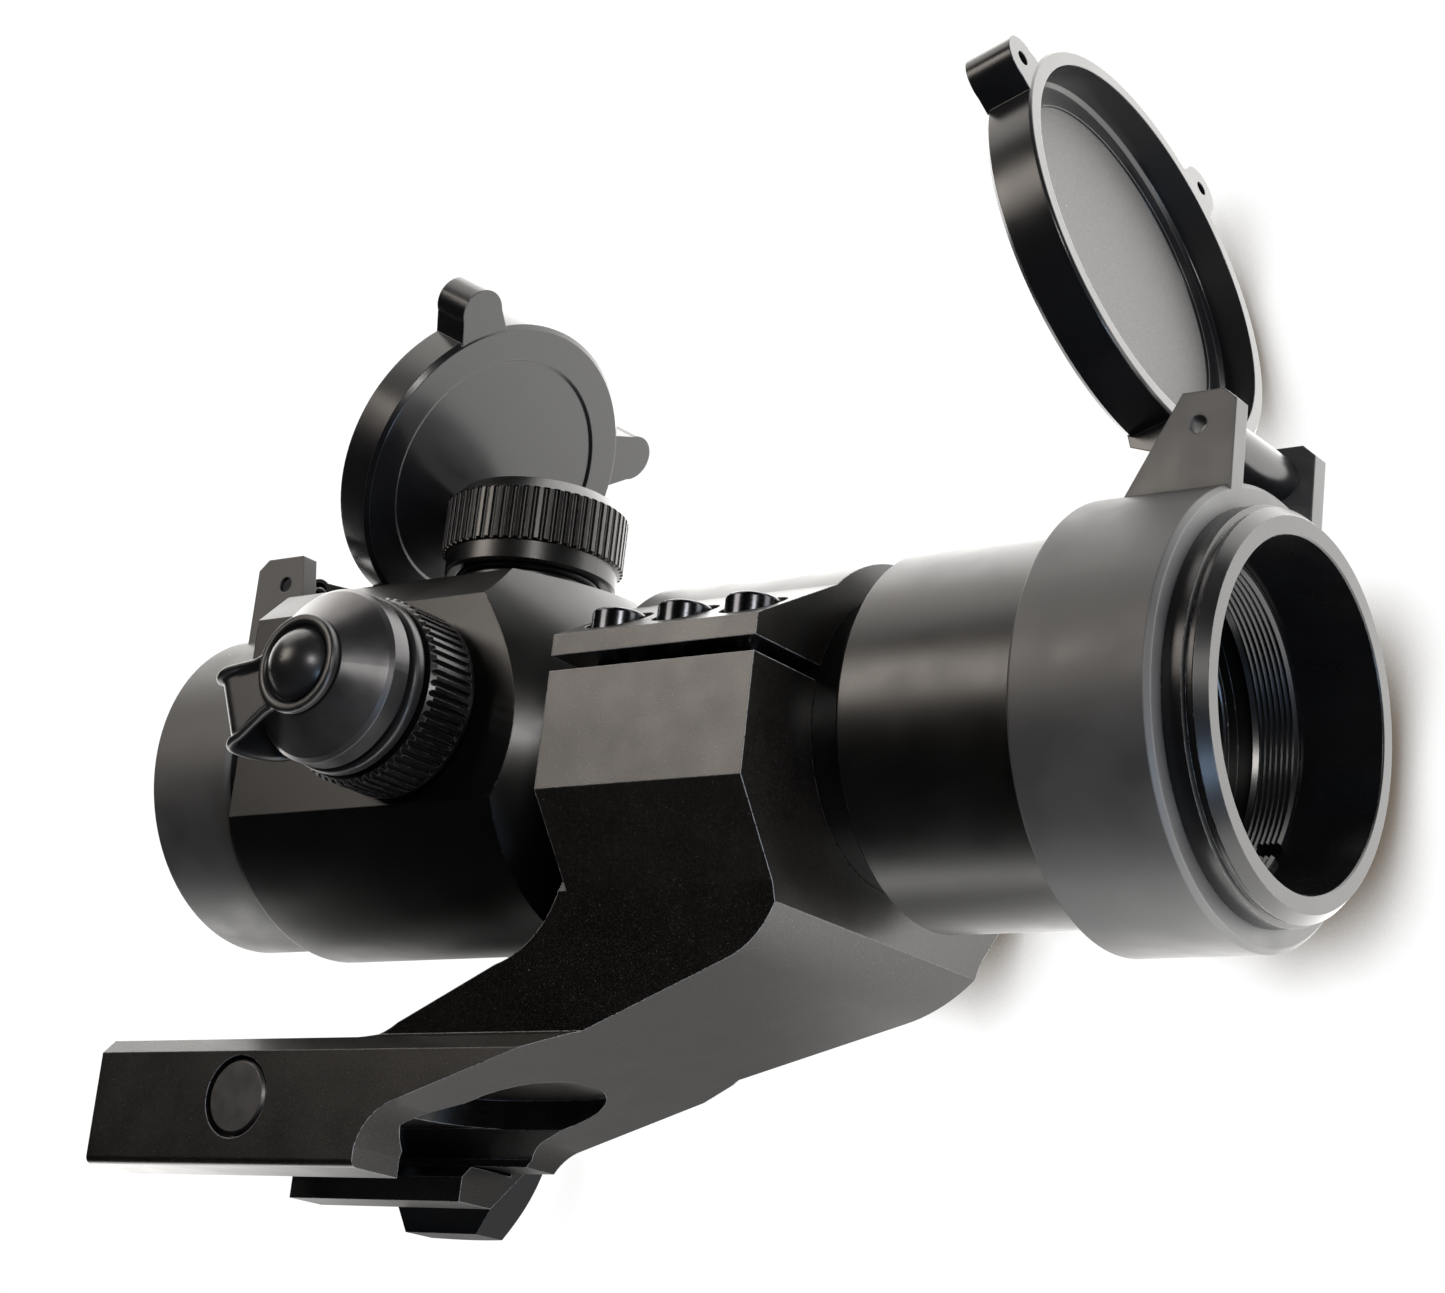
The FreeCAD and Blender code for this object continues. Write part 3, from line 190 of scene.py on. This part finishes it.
def anodised(name, colour, rough, grain=0.16 * MM, grain_depth=0.005 * MM, mottle=0.25, blast=0.0,
             blast_colour=(0.050, 0.043, 0.036), wear=0.0, wear_colour=(0.42, 0.43, 0.46), edge=0.16 * MM,
             dust=0.0, ior=1.5, lathe=0.0, metal=0.0):
    """Black anodised aluminium: fine blasted grain, faint mottling, bright worn edges, a little dust."""
    coat = Coat(name)
    coat.set(IOR=ior, Metallic=metal)
    patches = coat.noise(5.0 * MM, detail=5.0)
    fine = coat.noise(grain, detail=2.0)
    pale = tuple(min(1.0, part * (1 + mottle)) for part in colour)
    deep = tuple(part * (1 - mottle) for part in colour)
    tone = coat.blend(coat.remap(patches, 0.3, 0.7, 0.0, 1.0), deep, pale)
    rough_map = coat.remap(patches, 0.3, 0.7, rough * 0.9, rough * 1.1)
    if blast:
        pits = coat.noise(0.13 * MM, detail=1.0)
        grit = coat.math("MULTIPLY", coat.remap(pits, 0.52, 0.74, 0.0, 1.0), blast)
        tone = coat.blend(grit, tone, blast_colour)
        glints = coat.specks(0.30 * MM, 0.05 * MM, 0.25 * blast)
        tone = coat.blend(glints, tone, (0.16, 0.15, 0.14))
    if dust:
        motes = coat.specks(3.0 * MM, 0.09 * MM, dust, seed=0.031)
        tone = coat.blend(motes, tone, (0.45, 0.45, 0.44))
        rough_map = coat.mix_value(motes, rough_map, 0.8)
    normal, sharp = coat.edges(edge)
    if wear:
        chips = coat.remap(coat.noise(0.7 * MM, detail=6.0, roughness=0.7), 0.62 - 0.25 * wear,
                           0.68 - 0.25 * wear, 0.0, 1.0)
        bare = coat.math("MULTIPLY", sharp, chips)
        tone = coat.blend(bare, tone, wear_colour)
        rough_map = coat.mix_value(bare, rough_map, 0.35)
    coat.join(tone, coat.shader.inputs["Base Color"])
    coat.join(rough_map, coat.shader.inputs["Roughness"])
    layers = [(fine, grain_depth, 0.9)]
    if lathe:
        rings = coat.noise(0.10 * MM, detail=1.0, stretch=(1, 0.004, 0.004))
        layers.append((rings, 0.002 * MM, lathe))
    coat.bump(layers, normal)
    return coat.material


def moulded(name, colour, rough, grain=0.22 * MM, grain_depth=0.008 * MM, dust=0.0, edge=0.25 * MM, ior=1.5,
            mottle=0.15, edge_rub_and_sheen=0.0):
    """Moulded black plastic or rubber with a fine texture and a few pale dust specks."""
    coat = Coat(name)
    coat.set(IOR=ior)
    patches = coat.noise(6.0 * MM, detail=4.0)
    pale = tuple(part * (1 + mottle) for part in colour)
    deep = tuple(part * (1 - mottle) for part in colour)
    tone = coat.blend(coat.remap(patches, 0.3, 0.7, 0.0, 1.0), deep, pale)
    rough_map = coat.remap(patches, 0.3, 0.7, rough * 0.88, rough * 1.12)
    if dust:
        motes = coat.specks(3.4 * MM, 0.16 * MM, dust, seed=0.017)
        tone = coat.blend(motes, tone, (0.42, 0.42, 0.40))
    normal, sharp = coat.edges(edge)
    # Pale sharp edges: partly rubbed wear, partly a painted edge sheen standing in for grazing light on the
    # rims.
    if edge_rub_and_sheen:
        tone = coat.blend(coat.math("MULTIPLY", sharp, edge_rub_and_sheen), tone, (0.22, 0.22, 0.22))
    coat.join(tone, coat.shader.inputs["Base Color"])
    coat.join(rough_map, coat.shader.inputs["Roughness"])
    coat.bump([(coat.noise(grain, detail=2.0), grain_depth, 0.8)], normal)
    return coat.material


def lid_plastic(name, colour, hinge, open_angle, axis_height, disc_at, disc_radius, disc_shades_with_sheen):
    """Glossy moulded lid with a grit-textured disc inside, in two shades of grain; on the front lid these
    shades are pale, a painted sheen.

    The lid is swung back to its closed place in the shader, so that the disc is found by its radius
    from the optical axis and by its depth along it.
    """
    coat = Coat(name)
    coat.set(IOR=1.5)
    closed = coat.add("ShaderNodeVectorRotate", rotation_type="Y_AXIS")
    closed.inputs["Center"].default_value = hinge
    closed.inputs["Angle"].default_value = open_angle
    coat.join(coat.place, closed.inputs["Vector"])
    split = coat.add("ShaderNodeSeparateXYZ")
    coat.join(closed.outputs["Vector"], split.inputs["Vector"])
    height = coat.math("SUBTRACT", split.outputs["Z"], axis_height)
    radius = coat.math("SQRT", coat.math("ADD", coat.math("MULTIPLY", height, height),
                                         coat.math("MULTIPLY", split.outputs["Y"], split.outputs["Y"])), 0.0)
    inside_disc = coat.math("LESS_THAN", radius, disc_radius)
    off_plane = coat.math("ABSOLUTE", coat.math("SUBTRACT", split.outputs["X"], disc_at), 0.0)
    sanded_disc_sheen_mask = coat.math("MULTIPLY", inside_disc, coat.math("LESS_THAN", off_plane, 0.12 * MM))
    patches = coat.noise(6.0 * MM, detail=4.0)
    pale = tuple(part * 1.15 for part in colour)
    tone = coat.blend(coat.remap(patches, 0.3, 0.7, 0.0, 1.0), colour, pale)
    grain = coat.noise(0.16 * MM, detail=2.0)
    # On the front lid this disc colour is a painted sheen; on the rear lid it is the disc's own dark grain.
    disc_colour_with_sheen = coat.blend(coat.remap(grain, 0.35, 0.65, 0.0, 1.0), *disc_shades_with_sheen)
    tone = coat.blend(sanded_disc_sheen_mask, tone, disc_colour_with_sheen)
    motes = coat.specks(3.4 * MM, 0.11 * MM, 0.12, seed=0.017)
    tone = coat.blend(motes, tone, (0.42, 0.42, 0.40))
    normal, sharp = coat.edges(0.18 * MM)
    # Painted edge sheen: sharp edges are lightened towards pale grey in place of grazing light on the rims.
    tone = coat.blend(coat.math("MULTIPLY", sharp, 0.25), tone, (0.22, 0.22, 0.22))
    coat.join(tone, coat.shader.inputs["Base Color"])
    gloss = coat.remap(patches, 0.3, 0.7, 0.20, 0.27)
    coat.join(coat.mix_value(sanded_disc_sheen_mask, gloss, 0.55), coat.shader.inputs["Roughness"])
    coat.bump([(coat.math("MULTIPLY", grain, sanded_disc_sheen_mask), 0.03 * MM, 0.9),
               (coat.noise(0.6 * MM, detail=2.0), 0.003 * MM, 0.5)], normal)
    return coat.material


def steel(name, colour, rough, scratches=0.3, edge=0.15 * MM, stretch=(1, 12, 12)):
    """Dark steel with drawn scratches that follow one direction."""
    coat = Coat(name)
    coat.set(Metallic=1.0)
    lines = coat.noise(0.8 * MM, detail=6.0, stretch=stretch, roughness=0.65)
    blotch = coat.noise(2.2 * MM, detail=4.0)
    pale = tuple(min(1.0, part * 1.35) for part in colour)
    tone = coat.blend(coat.remap(blotch, 0.35, 0.65, 0.0, 1.0), colour, pale)
    coat.join(tone, coat.shader.inputs["Base Color"])
    coat.join(coat.remap(lines, 0.3, 0.7, rough * 0.75, rough * 1.3), coat.shader.inputs["Roughness"])
    normal = coat.edges(edge)[0]
    coat.bump([(lines, 0.006 * MM, scratches)], normal)
    return coat.material


def coated_glass(name, tint, gloss_tint):
    """Lens glass with a faint coloured coating and a little dust."""
    coat = Coat(name)
    coat.set(Roughness=0.015, IOR=1.52, Transmission_Weight=1.0, Specular_Tint=gloss_tint + (1.0,))
    haze = coat.noise(3.0 * MM, detail=3.0)
    film = coat.blend(coat.remap(haze, 0.35, 0.65, 0.0, 1.0), tint, tuple(part * 0.93 for part in tint))
    motes = coat.specks(2.2 * MM, 0.09 * MM, 0.3)
    coat.join(coat.blend(motes, film, (0.30, 0.34, 0.42)), coat.shader.inputs["Base Color"])
    coat.bump([(haze, 0.002 * MM, 0.05)])
    return coat.material


def simple_grain(name, colour, rough, metal=0.0, grain=0.3 * MM):
    """Small hidden or inner pieces: grain, slight colour change and rounded edges."""
    coat = Coat(name)
    coat.set(Metallic=metal)
    patches = coat.noise(1.5 * MM, detail=4.0)
    deep = tuple(part * 0.8 for part in colour)
    tone = coat.blend(coat.remap(patches, 0.3, 0.7, 0.0, 1.0), deep, colour)
    coat.join(tone, coat.shader.inputs["Base Color"])
    coat.join(coat.remap(patches, 0.3, 0.7, rough * 0.8, rough * 1.2), coat.shader.inputs["Roughness"])
    normal = coat.edges(0.12 * MM)[0]
    coat.bump([(coat.noise(grain, detail=2.0), 0.004 * MM, 0.5)], normal)
    return coat.material


# ------------------------------------------------------------------ the object's finishes

def lid_finish(end, turn, facing):
    """Finish of one lid; turn is how far it stands open and facing is 1 for the front lid."""
    cover_low, cover_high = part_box(end + "_cover_ring")
    pin_low, pin_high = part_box(end + "_hinge_pin")
    hinge = ((pin_low[0] + pin_high[0]) / 2, 0.0, (pin_low[2] + pin_high[2]) / 2)
    radius = cover_high[1]
    rim = cover_high[0] if facing > 0 else cover_low[0]
    depth = (5.4 if facing > 0 else 5.1) * MM
    gap = 0.25 * MM
    floor_at = rim + facing * (gap + depth - 1.2 * MM)
    # The front shades paint a sheen on the disc; the rear shades are its real colour.
    disc_shades_with_sheen = FRONT_DISC_PAINTED_SHEEN if facing > 0 else REAR_SAND
    return lid_plastic(end + "_lid_black", (0.0060, 0.0062, 0.0070), hinge, math.radians(turn),
                       AXIS_HEIGHT, floor_at, radius - 4.35 * MM, disc_shades_with_sheen)


def dress_cad():
    """Give every CAD node its finish."""
    body = anodised("body_black", (0.0022, 0.0020, 0.0019), 0.33, wear=0.2, dust=0.08, lathe=0.25)
    bezel = anodised("bezel_black", (0.004, 0.004, 0.0045), 0.28, grain=0.12 * MM, wear=0.45, dust=0.06,
                     lathe=0.3, edge=0.10 * MM, wear_colour=(0.20, 0.21, 0.23))
    bore = anodised("bore_black", (0.005, 0.005, 0.006), 0.24, edge=0.05 * MM)
    mount = anodised("mount_black", (0.0026, 0.0022, 0.0020), 0.31, grain=0.20 * MM,
                     grain_depth=0.008 * MM, blast=0.62, wear=0.85, dust=0.08, edge=0.15 * MM)
    turret = anodised("turret_black", (0.0030, 0.0027, 0.0027), 0.30, wear=0.5,
                      wear_colour=(0.20, 0.155, 0.15), dust=0.06, edge=0.10 * MM)
    satin = anodised("satin_black", (0.085, 0.083, 0.085), 0.32, grain=0.12 * MM,
                     grain_depth=0.003 * MM, wear=0.4, wear_colour=(0.24, 0.19, 0.18),
                     dust=0.05, edge=0.10 * MM, metal=0.8)
    inner = anodised("inner_black", (0.005, 0.005, 0.005), 0.55)
    cover = moulded("cover_black", (0.040, 0.040, 0.041), 0.50, dust=0.22, edge_rub_and_sheen=0.30, ior=1.70)
    rubber = moulded("rubber_black", (0.011, 0.011, 0.012), 0.33, grain=0.3 * MM, dust=0.10, edge=0.30 * MM)
    glass = coated_glass("lens_glass", (0.93, 0.96, 1.0), (0.55, 0.68, 1.0))
    blued = steel("blued_steel", (0.05, 0.052, 0.058), 0.18, stretch=(1, 1, 8))
    nut = anodised("nut_black", (0.010, 0.011, 0.013), 0.38, wear=0.4, wear_colour=(0.2, 0.2, 0.2))
    scuffed = steel("scuffed_steel", (0.07, 0.07, 0.072), 0.40, scratches=0.8)
    spring = steel("spring_steel", (0.46, 0.46, 0.47), 0.28)
    nickel = steel("cell_nickel", (0.62, 0.61, 0.58), 0.22)
    board = simple_grain("board_green", (0.02, 0.09, 0.04), 0.45)
    lamp = simple_grain("emitter_red", (0.75, 0.05, 0.04), 0.18)
    finishes = {
        body: ("main_tube",),
        bezel: ("objective_bezel",),
        bore: ("objective_retaining_ring", "objective_baffle", "eyepiece_retaining_ring"),
        mount: ("mount_base", "ring_cap", "clamp_jaw"),
        turret: ("elevation_cap", "elevation_collar", "windage_cap", "windage_collar", "brightness_dial"),
        satin: ("battery_cap",),
        inner: ("knob_core", "gimbal_ring", "inner_tube"),
        cover: ("front_cover_ring", "rear_cover_ring"),
        lid_finish("front", FRONT_LID_OPEN, 1): ("front_lid",),
        lid_finish("rear", -REAR_LID_OPEN, -1): ("rear_lid",),
        rubber: ("cap_stud", "cap_strap", "elevation_seal", "windage_seal"),
        glass: ("objective_lens", "eyepiece_lens", "reflector_lens"),
        blued: ("ring_screws", "front_hinge_pin", "rear_hinge_pin"),
        nut: ("clamp_nut",),
        scuffed: ("clamp_bolt",),
        spring: ("front_hinge_spring", "rear_hinge_spring", "elevation_screw", "windage_screw",
                 "battery_spring", "bias_spring", "gimbal_side_pins", "gimbal_top_pins"),
        nickel: ("battery",),
        board: ("switch_board", "emitter_holder"),
        lamp: ("emitter",),
    }
    for finish, names in finishes.items():
        for name in names:
            slots = NODES[name].data.materials
            slots.clear()
            slots.append(finish)
    return rubber


# ------------------------------------------------------------------ rubber tether

def ring_skin(bm, place, section, steps=96):
    """Turn a closed section of (radius, height) round the stud's axis."""
    rows = []
    for step in range(steps):
        angle = 2 * math.pi * step / steps
        around = Vector((math.cos(angle), math.sin(angle), 0))
        rows.append([bm.verts.new(place @ (around * radius + Vector((0, 0, height))))
                     for radius, height in section])
    for step, row in enumerate(rows):
        following = rows[(step + 1) % steps]
        for index in range(len(section)):
            after = (index + 1) % len(section)
            bm.faces.new((row[index], following[index], following[after], row[after]))


def round_section(middle, height, half_wide, half_tall, steps=16):
    """Rounded, slightly squared section of a rubber ring."""
    points = []
    for step in range(steps):
        angle = 2 * math.pi * step / steps
        across = math.copysign(abs(math.cos(angle)) ** 0.6, math.cos(angle))
        up = math.copysign(abs(math.sin(angle)) ** 0.6, math.sin(angle))
        points.append((middle + half_wide * across, height + half_tall * up))
    return points


def band_line(top, low, reach, start, end):
    """Middle line of the band, as (along, height, tangent angle): out from the loop, over and back under."""
    bend = 1.85 * MM
    line = [(start + (reach + bend - start) * step / 9, top, math.pi) for step in range(10)]
    for step in range(1, 13):
        angle = math.pi / 2 * step / 12
        along = reach + bend - bend * math.sin(angle)
        line.append((along, top - bend + bend * math.cos(angle), math.pi + angle))
    curl = top - bend - low
    for step in range(1, 15):
        angle = math.pi / 2 * step / 14
        line.append((reach + (end - reach) * (1 - math.cos(angle)), low + curl * (1 - math.sin(angle)),
                     3 * math.pi / 2 + angle))
    return line


def band_skin(bm, place, line, half_width):
    """Sweep a thin web with a rounded bead on each edge along the band's middle line."""
    across_steps = 22
    rows = []
    for index, (along, height, heading) in enumerate(line):
        share = index / (len(line) - 1)
        half = half_width(share)
        outward = Vector((math.sin(heading), 0, -math.cos(heading)))
        top, bottom = [], []
        for step in range(across_steps + 1):
            side = math.cos(math.pi * step / across_steps)
            from_edge = half * (1 - abs(side))
            bead = max(0.0, 1 - (max(0.0, from_edge - 0.55 * MM) / (0.45 * MM)) ** 2)
            edge = math.sqrt(max(0.0, 1 - max(0.0, 1 - from_edge / (0.5 * MM)) ** 2))
            rise = (-0.12 * MM + 0.70 * MM * bead) * edge
            fall = -0.52 * MM * edge
            centre = Vector((along, side * half, height))
            top.append(centre + outward * rise)
            bottom.append(centre + outward * fall)
        ring = top + bottom[-2:0:-1]
        rows.append([bm.verts.new(place @ point) for point in ring])
    for row, following in zip(rows, rows[1:]):
        for index in range(len(row)):
            after = (index + 1) % len(row)
            bm.faces.new((row[index], following[index], following[after], row[after]))
    bm.faces.new(rows[0])
    bm.faces.new(list(reversed(rows[-1])))


def tether(finish):
    """Rubber tether of the battery cap: loop under the stud's head, folded band, ring in the cap's groove."""
    stud_low, stud_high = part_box("cap_stud")
    middle = (stud_low + stud_high) / 2
    tip = stud_low[1]
    place = (Matrix.Translation((middle[0], tip, middle[2])) @ Matrix.Rotation(math.radians(90), 4, "X")
             @ Matrix.Rotation(math.radians(STRAP_SPIN), 4, "Z"))
    loop_at = -2.65 * MM
    groove_at = -10.45 * MM
    bm = bmesh.new()
    ring_skin(bm, place, round_section(4.72 * MM, loop_at + 0.12 * MM, 0.55 * MM, 0.60 * MM))
    ring_skin(bm, place, round_section(3.60 * MM, loop_at - 0.25 * MM, 1.00 * MM, 0.28 * MM))
    ring_skin(bm, place, round_section(8.90 * MM, groove_at, 0.68 * MM, 0.80 * MM))
    line = band_line(loop_at, groove_at + 0.1 * MM, -11.45 * MM, -4.0 * MM, -8.7 * MM)
    band_skin(bm, place, line, lambda share: (3.3 + 1.1 * min(1.0, max(0.0, share - 0.06) / 0.18)) * MM)
    bmesh.ops.recalc_face_normals(bm, faces=bm.faces)
    mesh = bpy.data.meshes.new("tether_parts")
    bm.to_mesh(mesh)
    bm.free()
    rough_piece = bpy.data.objects.new("tether_rough", mesh)
    bpy.context.scene.collection.objects.link(rough_piece)
    skin = rough_piece.modifiers.new("skin", "REMESH")
    skin.mode = "VOXEL"
    skin.voxel_size = 0.16 * MM
    soften = rough_piece.modifiers.new("soften", "SMOOTH")
    soften.factor = 0.5
    soften.iterations = 4
    solid = bpy.data.meshes.new_from_object(rough_piece.evaluated_get(bpy.context.evaluated_depsgraph_get()))
    bpy.data.objects.remove(rough_piece)
    solid.polygons.foreach_set("use_smooth", [True] * len(solid.polygons))
    piece = bpy.data.objects.new("tether", solid)
    bpy.context.scene.collection.objects.link(piece)
    solid.materials.clear()
    solid.materials.append(finish)
    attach(piece, "battery_cap")
    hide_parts("cap_strap")


# ------------------------------------------------------------------ stage, light, camera

RIGHT = Vector((0.800, 0.590, 0.107))
DOWN = Vector((-0.085, 0.288, -0.954))
AHEAD = Vector((-0.594, 0.754, 0.280))
CAMERA_AT = Vector((0.2528, -0.2551, -0.0449))
MIDDLE = Vector((0.045, 0.0, 0.030))
LENS = 79.75
SENSOR_WIDTH = 36.0


def white_with_painted_contact_shadow(tree):
    """White surface as the camera sees it, with a painted contact shadow: darker only within a few
    millimetres of the object.
    """
    reach = tree.nodes.new("ShaderNodeAmbientOcclusion")
    reach.samples = 16
    reach.inputs["Distance"].default_value = 11 * MM
    tone = tree.nodes.new("ShaderNodeMix")
    tone.data_type = "RGBA"
    tone.inputs[6].default_value = (0.15, 0.12, 0.09, 1.0)
    tone.inputs[7].default_value = (1.05, 1.05, 1.05, 1.0)
    open_sky = tree.nodes.new("ShaderNodeMapRange")
    open_sky.interpolation_type = "SMOOTHSTEP"
    open_sky.inputs["From Min"].default_value = 0.25
    open_sky.inputs["From Max"].default_value = 0.90
    tree.links.new(reach.outputs["AO"], open_sky.inputs["Value"])
    tree.links.new(open_sky.outputs["Result"], tone.inputs["Factor"])
    light = tree.nodes.new("ShaderNodeEmission")
    tree.links.new(tone.outputs[2], light.inputs["Color"])
    return light.outputs["Emission"]


def one_sided(name, middle, near, far, dim, bright):
    """Stage surface that shows only its front, so it never hides the object.

    The camera sees it white with painted contact shading. The object is lit by it like a soft card, dim round
    its middle and bright further out; where the glow is dimmed, that is a painted shadow and light falloff.
    """
    material = bpy.data.materials.new(name)
    material.use_nodes = True
    tree = material.node_tree
    tree.nodes.clear()
    side = tree.nodes.new("ShaderNodeNewGeometry")
    away = tree.nodes.new("ShaderNodeVectorMath")
    away.operation = "DISTANCE"
    away.inputs[1].default_value = middle
    tree.links.new(side.outputs["Position"], away.inputs[0])
    fade = tree.nodes.new("ShaderNodeMapRange")
    fade.interpolation_type = "SMOOTHSTEP"
    for socket, number in (("From Min", near), ("From Max", far), ("To Min", dim), ("To Max", bright)):
        fade.inputs[socket].default_value = number
    tree.links.new(away.outputs["Value"], fade.inputs["Value"])
    light = tree.nodes.new("ShaderNodeEmission")
    light.inputs["Color"].default_value = (1.0, 0.985, 0.96, 1.0)
    tree.links.new(fade.outputs["Result"], light.inputs["Strength"])
    path = tree.nodes.new("ShaderNodeLightPath")
    choice = tree.nodes.new("ShaderNodeMixShader")
    tree.links.new(path.outputs["Is Camera Ray"], choice.inputs[0])
    tree.links.new(light.outputs["Emission"], choice.inputs[1])
    tree.links.new(white_with_painted_contact_shadow(tree), choice.inputs[2])
    clear = tree.nodes.new("ShaderNodeBsdfTransparent")
    mix = tree.nodes.new("ShaderNodeMixShader")
    output = tree.nodes.new("ShaderNodeOutputMaterial")
    tree.links.new(side.outputs["Backfacing"], mix.inputs[0])
    tree.links.new(choice.outputs["Shader"], mix.inputs[1])
    tree.links.new(clear.outputs["BSDF"], mix.inputs[2])
    tree.links.new(mix.outputs["Shader"], output.inputs["Surface"])
    return material


def stage_plane(name, centre, normal, size, material):
    mesh = bpy.data.meshes.new(name)
    half = size / 2
    corners = [(-half, -half, 0), (half, -half, 0), (half, half, 0), (-half, half, 0)]
    mesh.from_pydata(corners, [], [(0, 1, 2, 3)])
    plane = bpy.data.objects.new(name, mesh)
    plane.matrix_world = Matrix.Translation(centre) @ normal.to_track_quat("Z", "Y").to_matrix().to_4x4()
    mesh.materials.append(material)
    bpy.context.scene.collection.objects.link(plane)
    plane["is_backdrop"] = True
    return plane


def area_light(name, towards, distance, size, radiance, colour):
    """Soft square light in a direction given as (right, up, ahead) of the view."""
    direction = (RIGHT * towards[0] - DOWN * towards[1] + AHEAD * towards[2]).normalized()
    light = bpy.data.lights.new(name, "AREA")
    light.shape = "SQUARE"
    light.size = size
    light.energy = radiance * math.pi * size * size
    light.color = colour
    lamp = bpy.data.objects.new(name, light)
    lamp.matrix_world = (Matrix.Translation(MIDDLE + direction * distance)
                         @ direction.to_track_quat("Z", "Y").to_matrix().to_4x4())
    bpy.context.scene.collection.objects.link(lamp)


def studio():
    """Bright table that the object's left side lies on, pale floor under the foot, soft lights round it."""
    pale_floor = one_sided("stage_floor", MIDDLE, 0.032, 0.110, 0.5, 0.5)
    # The table's glow dims round a point on the table below the object's lower right: a painted shadow of the
    # object, seen in its reflections.
    table = one_sided("stage_table", (0.015, 0.035, -0.022), 0.032, 0.110, 0.5, 3.6)
    floor_level = cad_box[0][2]
    floor = stage_plane("floor", Vector((0.05, 0.0, floor_level)), Vector((0, 0, 1)), 3.0, pale_floor)
    floor.visible_shadow = False
    floor.visible_diffuse = False
    floor.visible_glossy = False
    stage_plane("table", Vector((0.0236, 0.0331, 0.0)), Vector((-0.125, -1.0, 0.0)).normalized(), 3.0, table)
    area_light("front_soft", (0.10, 0.45, -0.88), 0.70, 0.14, 30.0, (1.0, 0.97, 0.94))
    area_light("front_cool", (0.45, -0.20, -0.87), 0.60, 0.10, 26.0, (0.50, 0.70, 1.0))
    area_light("window", (-0.45, 0.80, 0.40), 0.60, 0.40, 2.5, (1.0, 0.95, 0.90))
    area_light("key", (-0.82, 0.53, -0.21), 0.60, 0.22, 8.0, (1.0, 0.91, 0.82))
    world = bpy.data.worlds.new("studio")
    bpy.context.scene.world = world
    world.use_nodes = True
    tree = world.node_tree
    tree.nodes.clear()
    seen = tree.nodes.new("ShaderNodeLightPath")
    pale = tree.nodes.new("ShaderNodeBackground")
    pale.inputs["Color"].default_value = (1.0, 1.0, 1.0, 1.0)
    pale.inputs["Strength"].default_value = 1.0
    dim = tree.nodes.new("ShaderNodeBackground")
    dim.inputs["Color"].default_value = (0.93, 0.96, 1.0, 1.0)
    dim.inputs["Strength"].default_value = 0.02
    mix = tree.nodes.new("ShaderNodeMixShader")
    output = tree.nodes.new("ShaderNodeOutputWorld")
    tree.links.new(seen.outputs["Is Camera Ray"], mix.inputs[0])
    tree.links.new(dim.outputs["Background"], mix.inputs[1])
    tree.links.new(pale.outputs["Background"], mix.inputs[2])
    tree.links.new(mix.outputs["Shader"], output.inputs["Surface"])
    bpy.context.scene.view_settings.view_transform = "Standard"


def camera():
    data = bpy.data.cameras.new("view")
    data.sensor_width = SENSOR_WIDTH
    data.lens = LENS
    data.clip_start = 0.01
    holder = bpy.data.objects.new("view", data)
    turn = Matrix((RIGHT.normalized(), -DOWN.normalized(), -AHEAD.normalized())).transposed().to_4x4()
    holder.matrix_world = Matrix.Translation(CAMERA_AT) @ turn
    bpy.context.scene.collection.objects.link(holder)
    bpy.context.scene.camera = holder


rubber_finish = dress_cad()
tether(rubber_finish)
studio()
camera()

low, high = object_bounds()
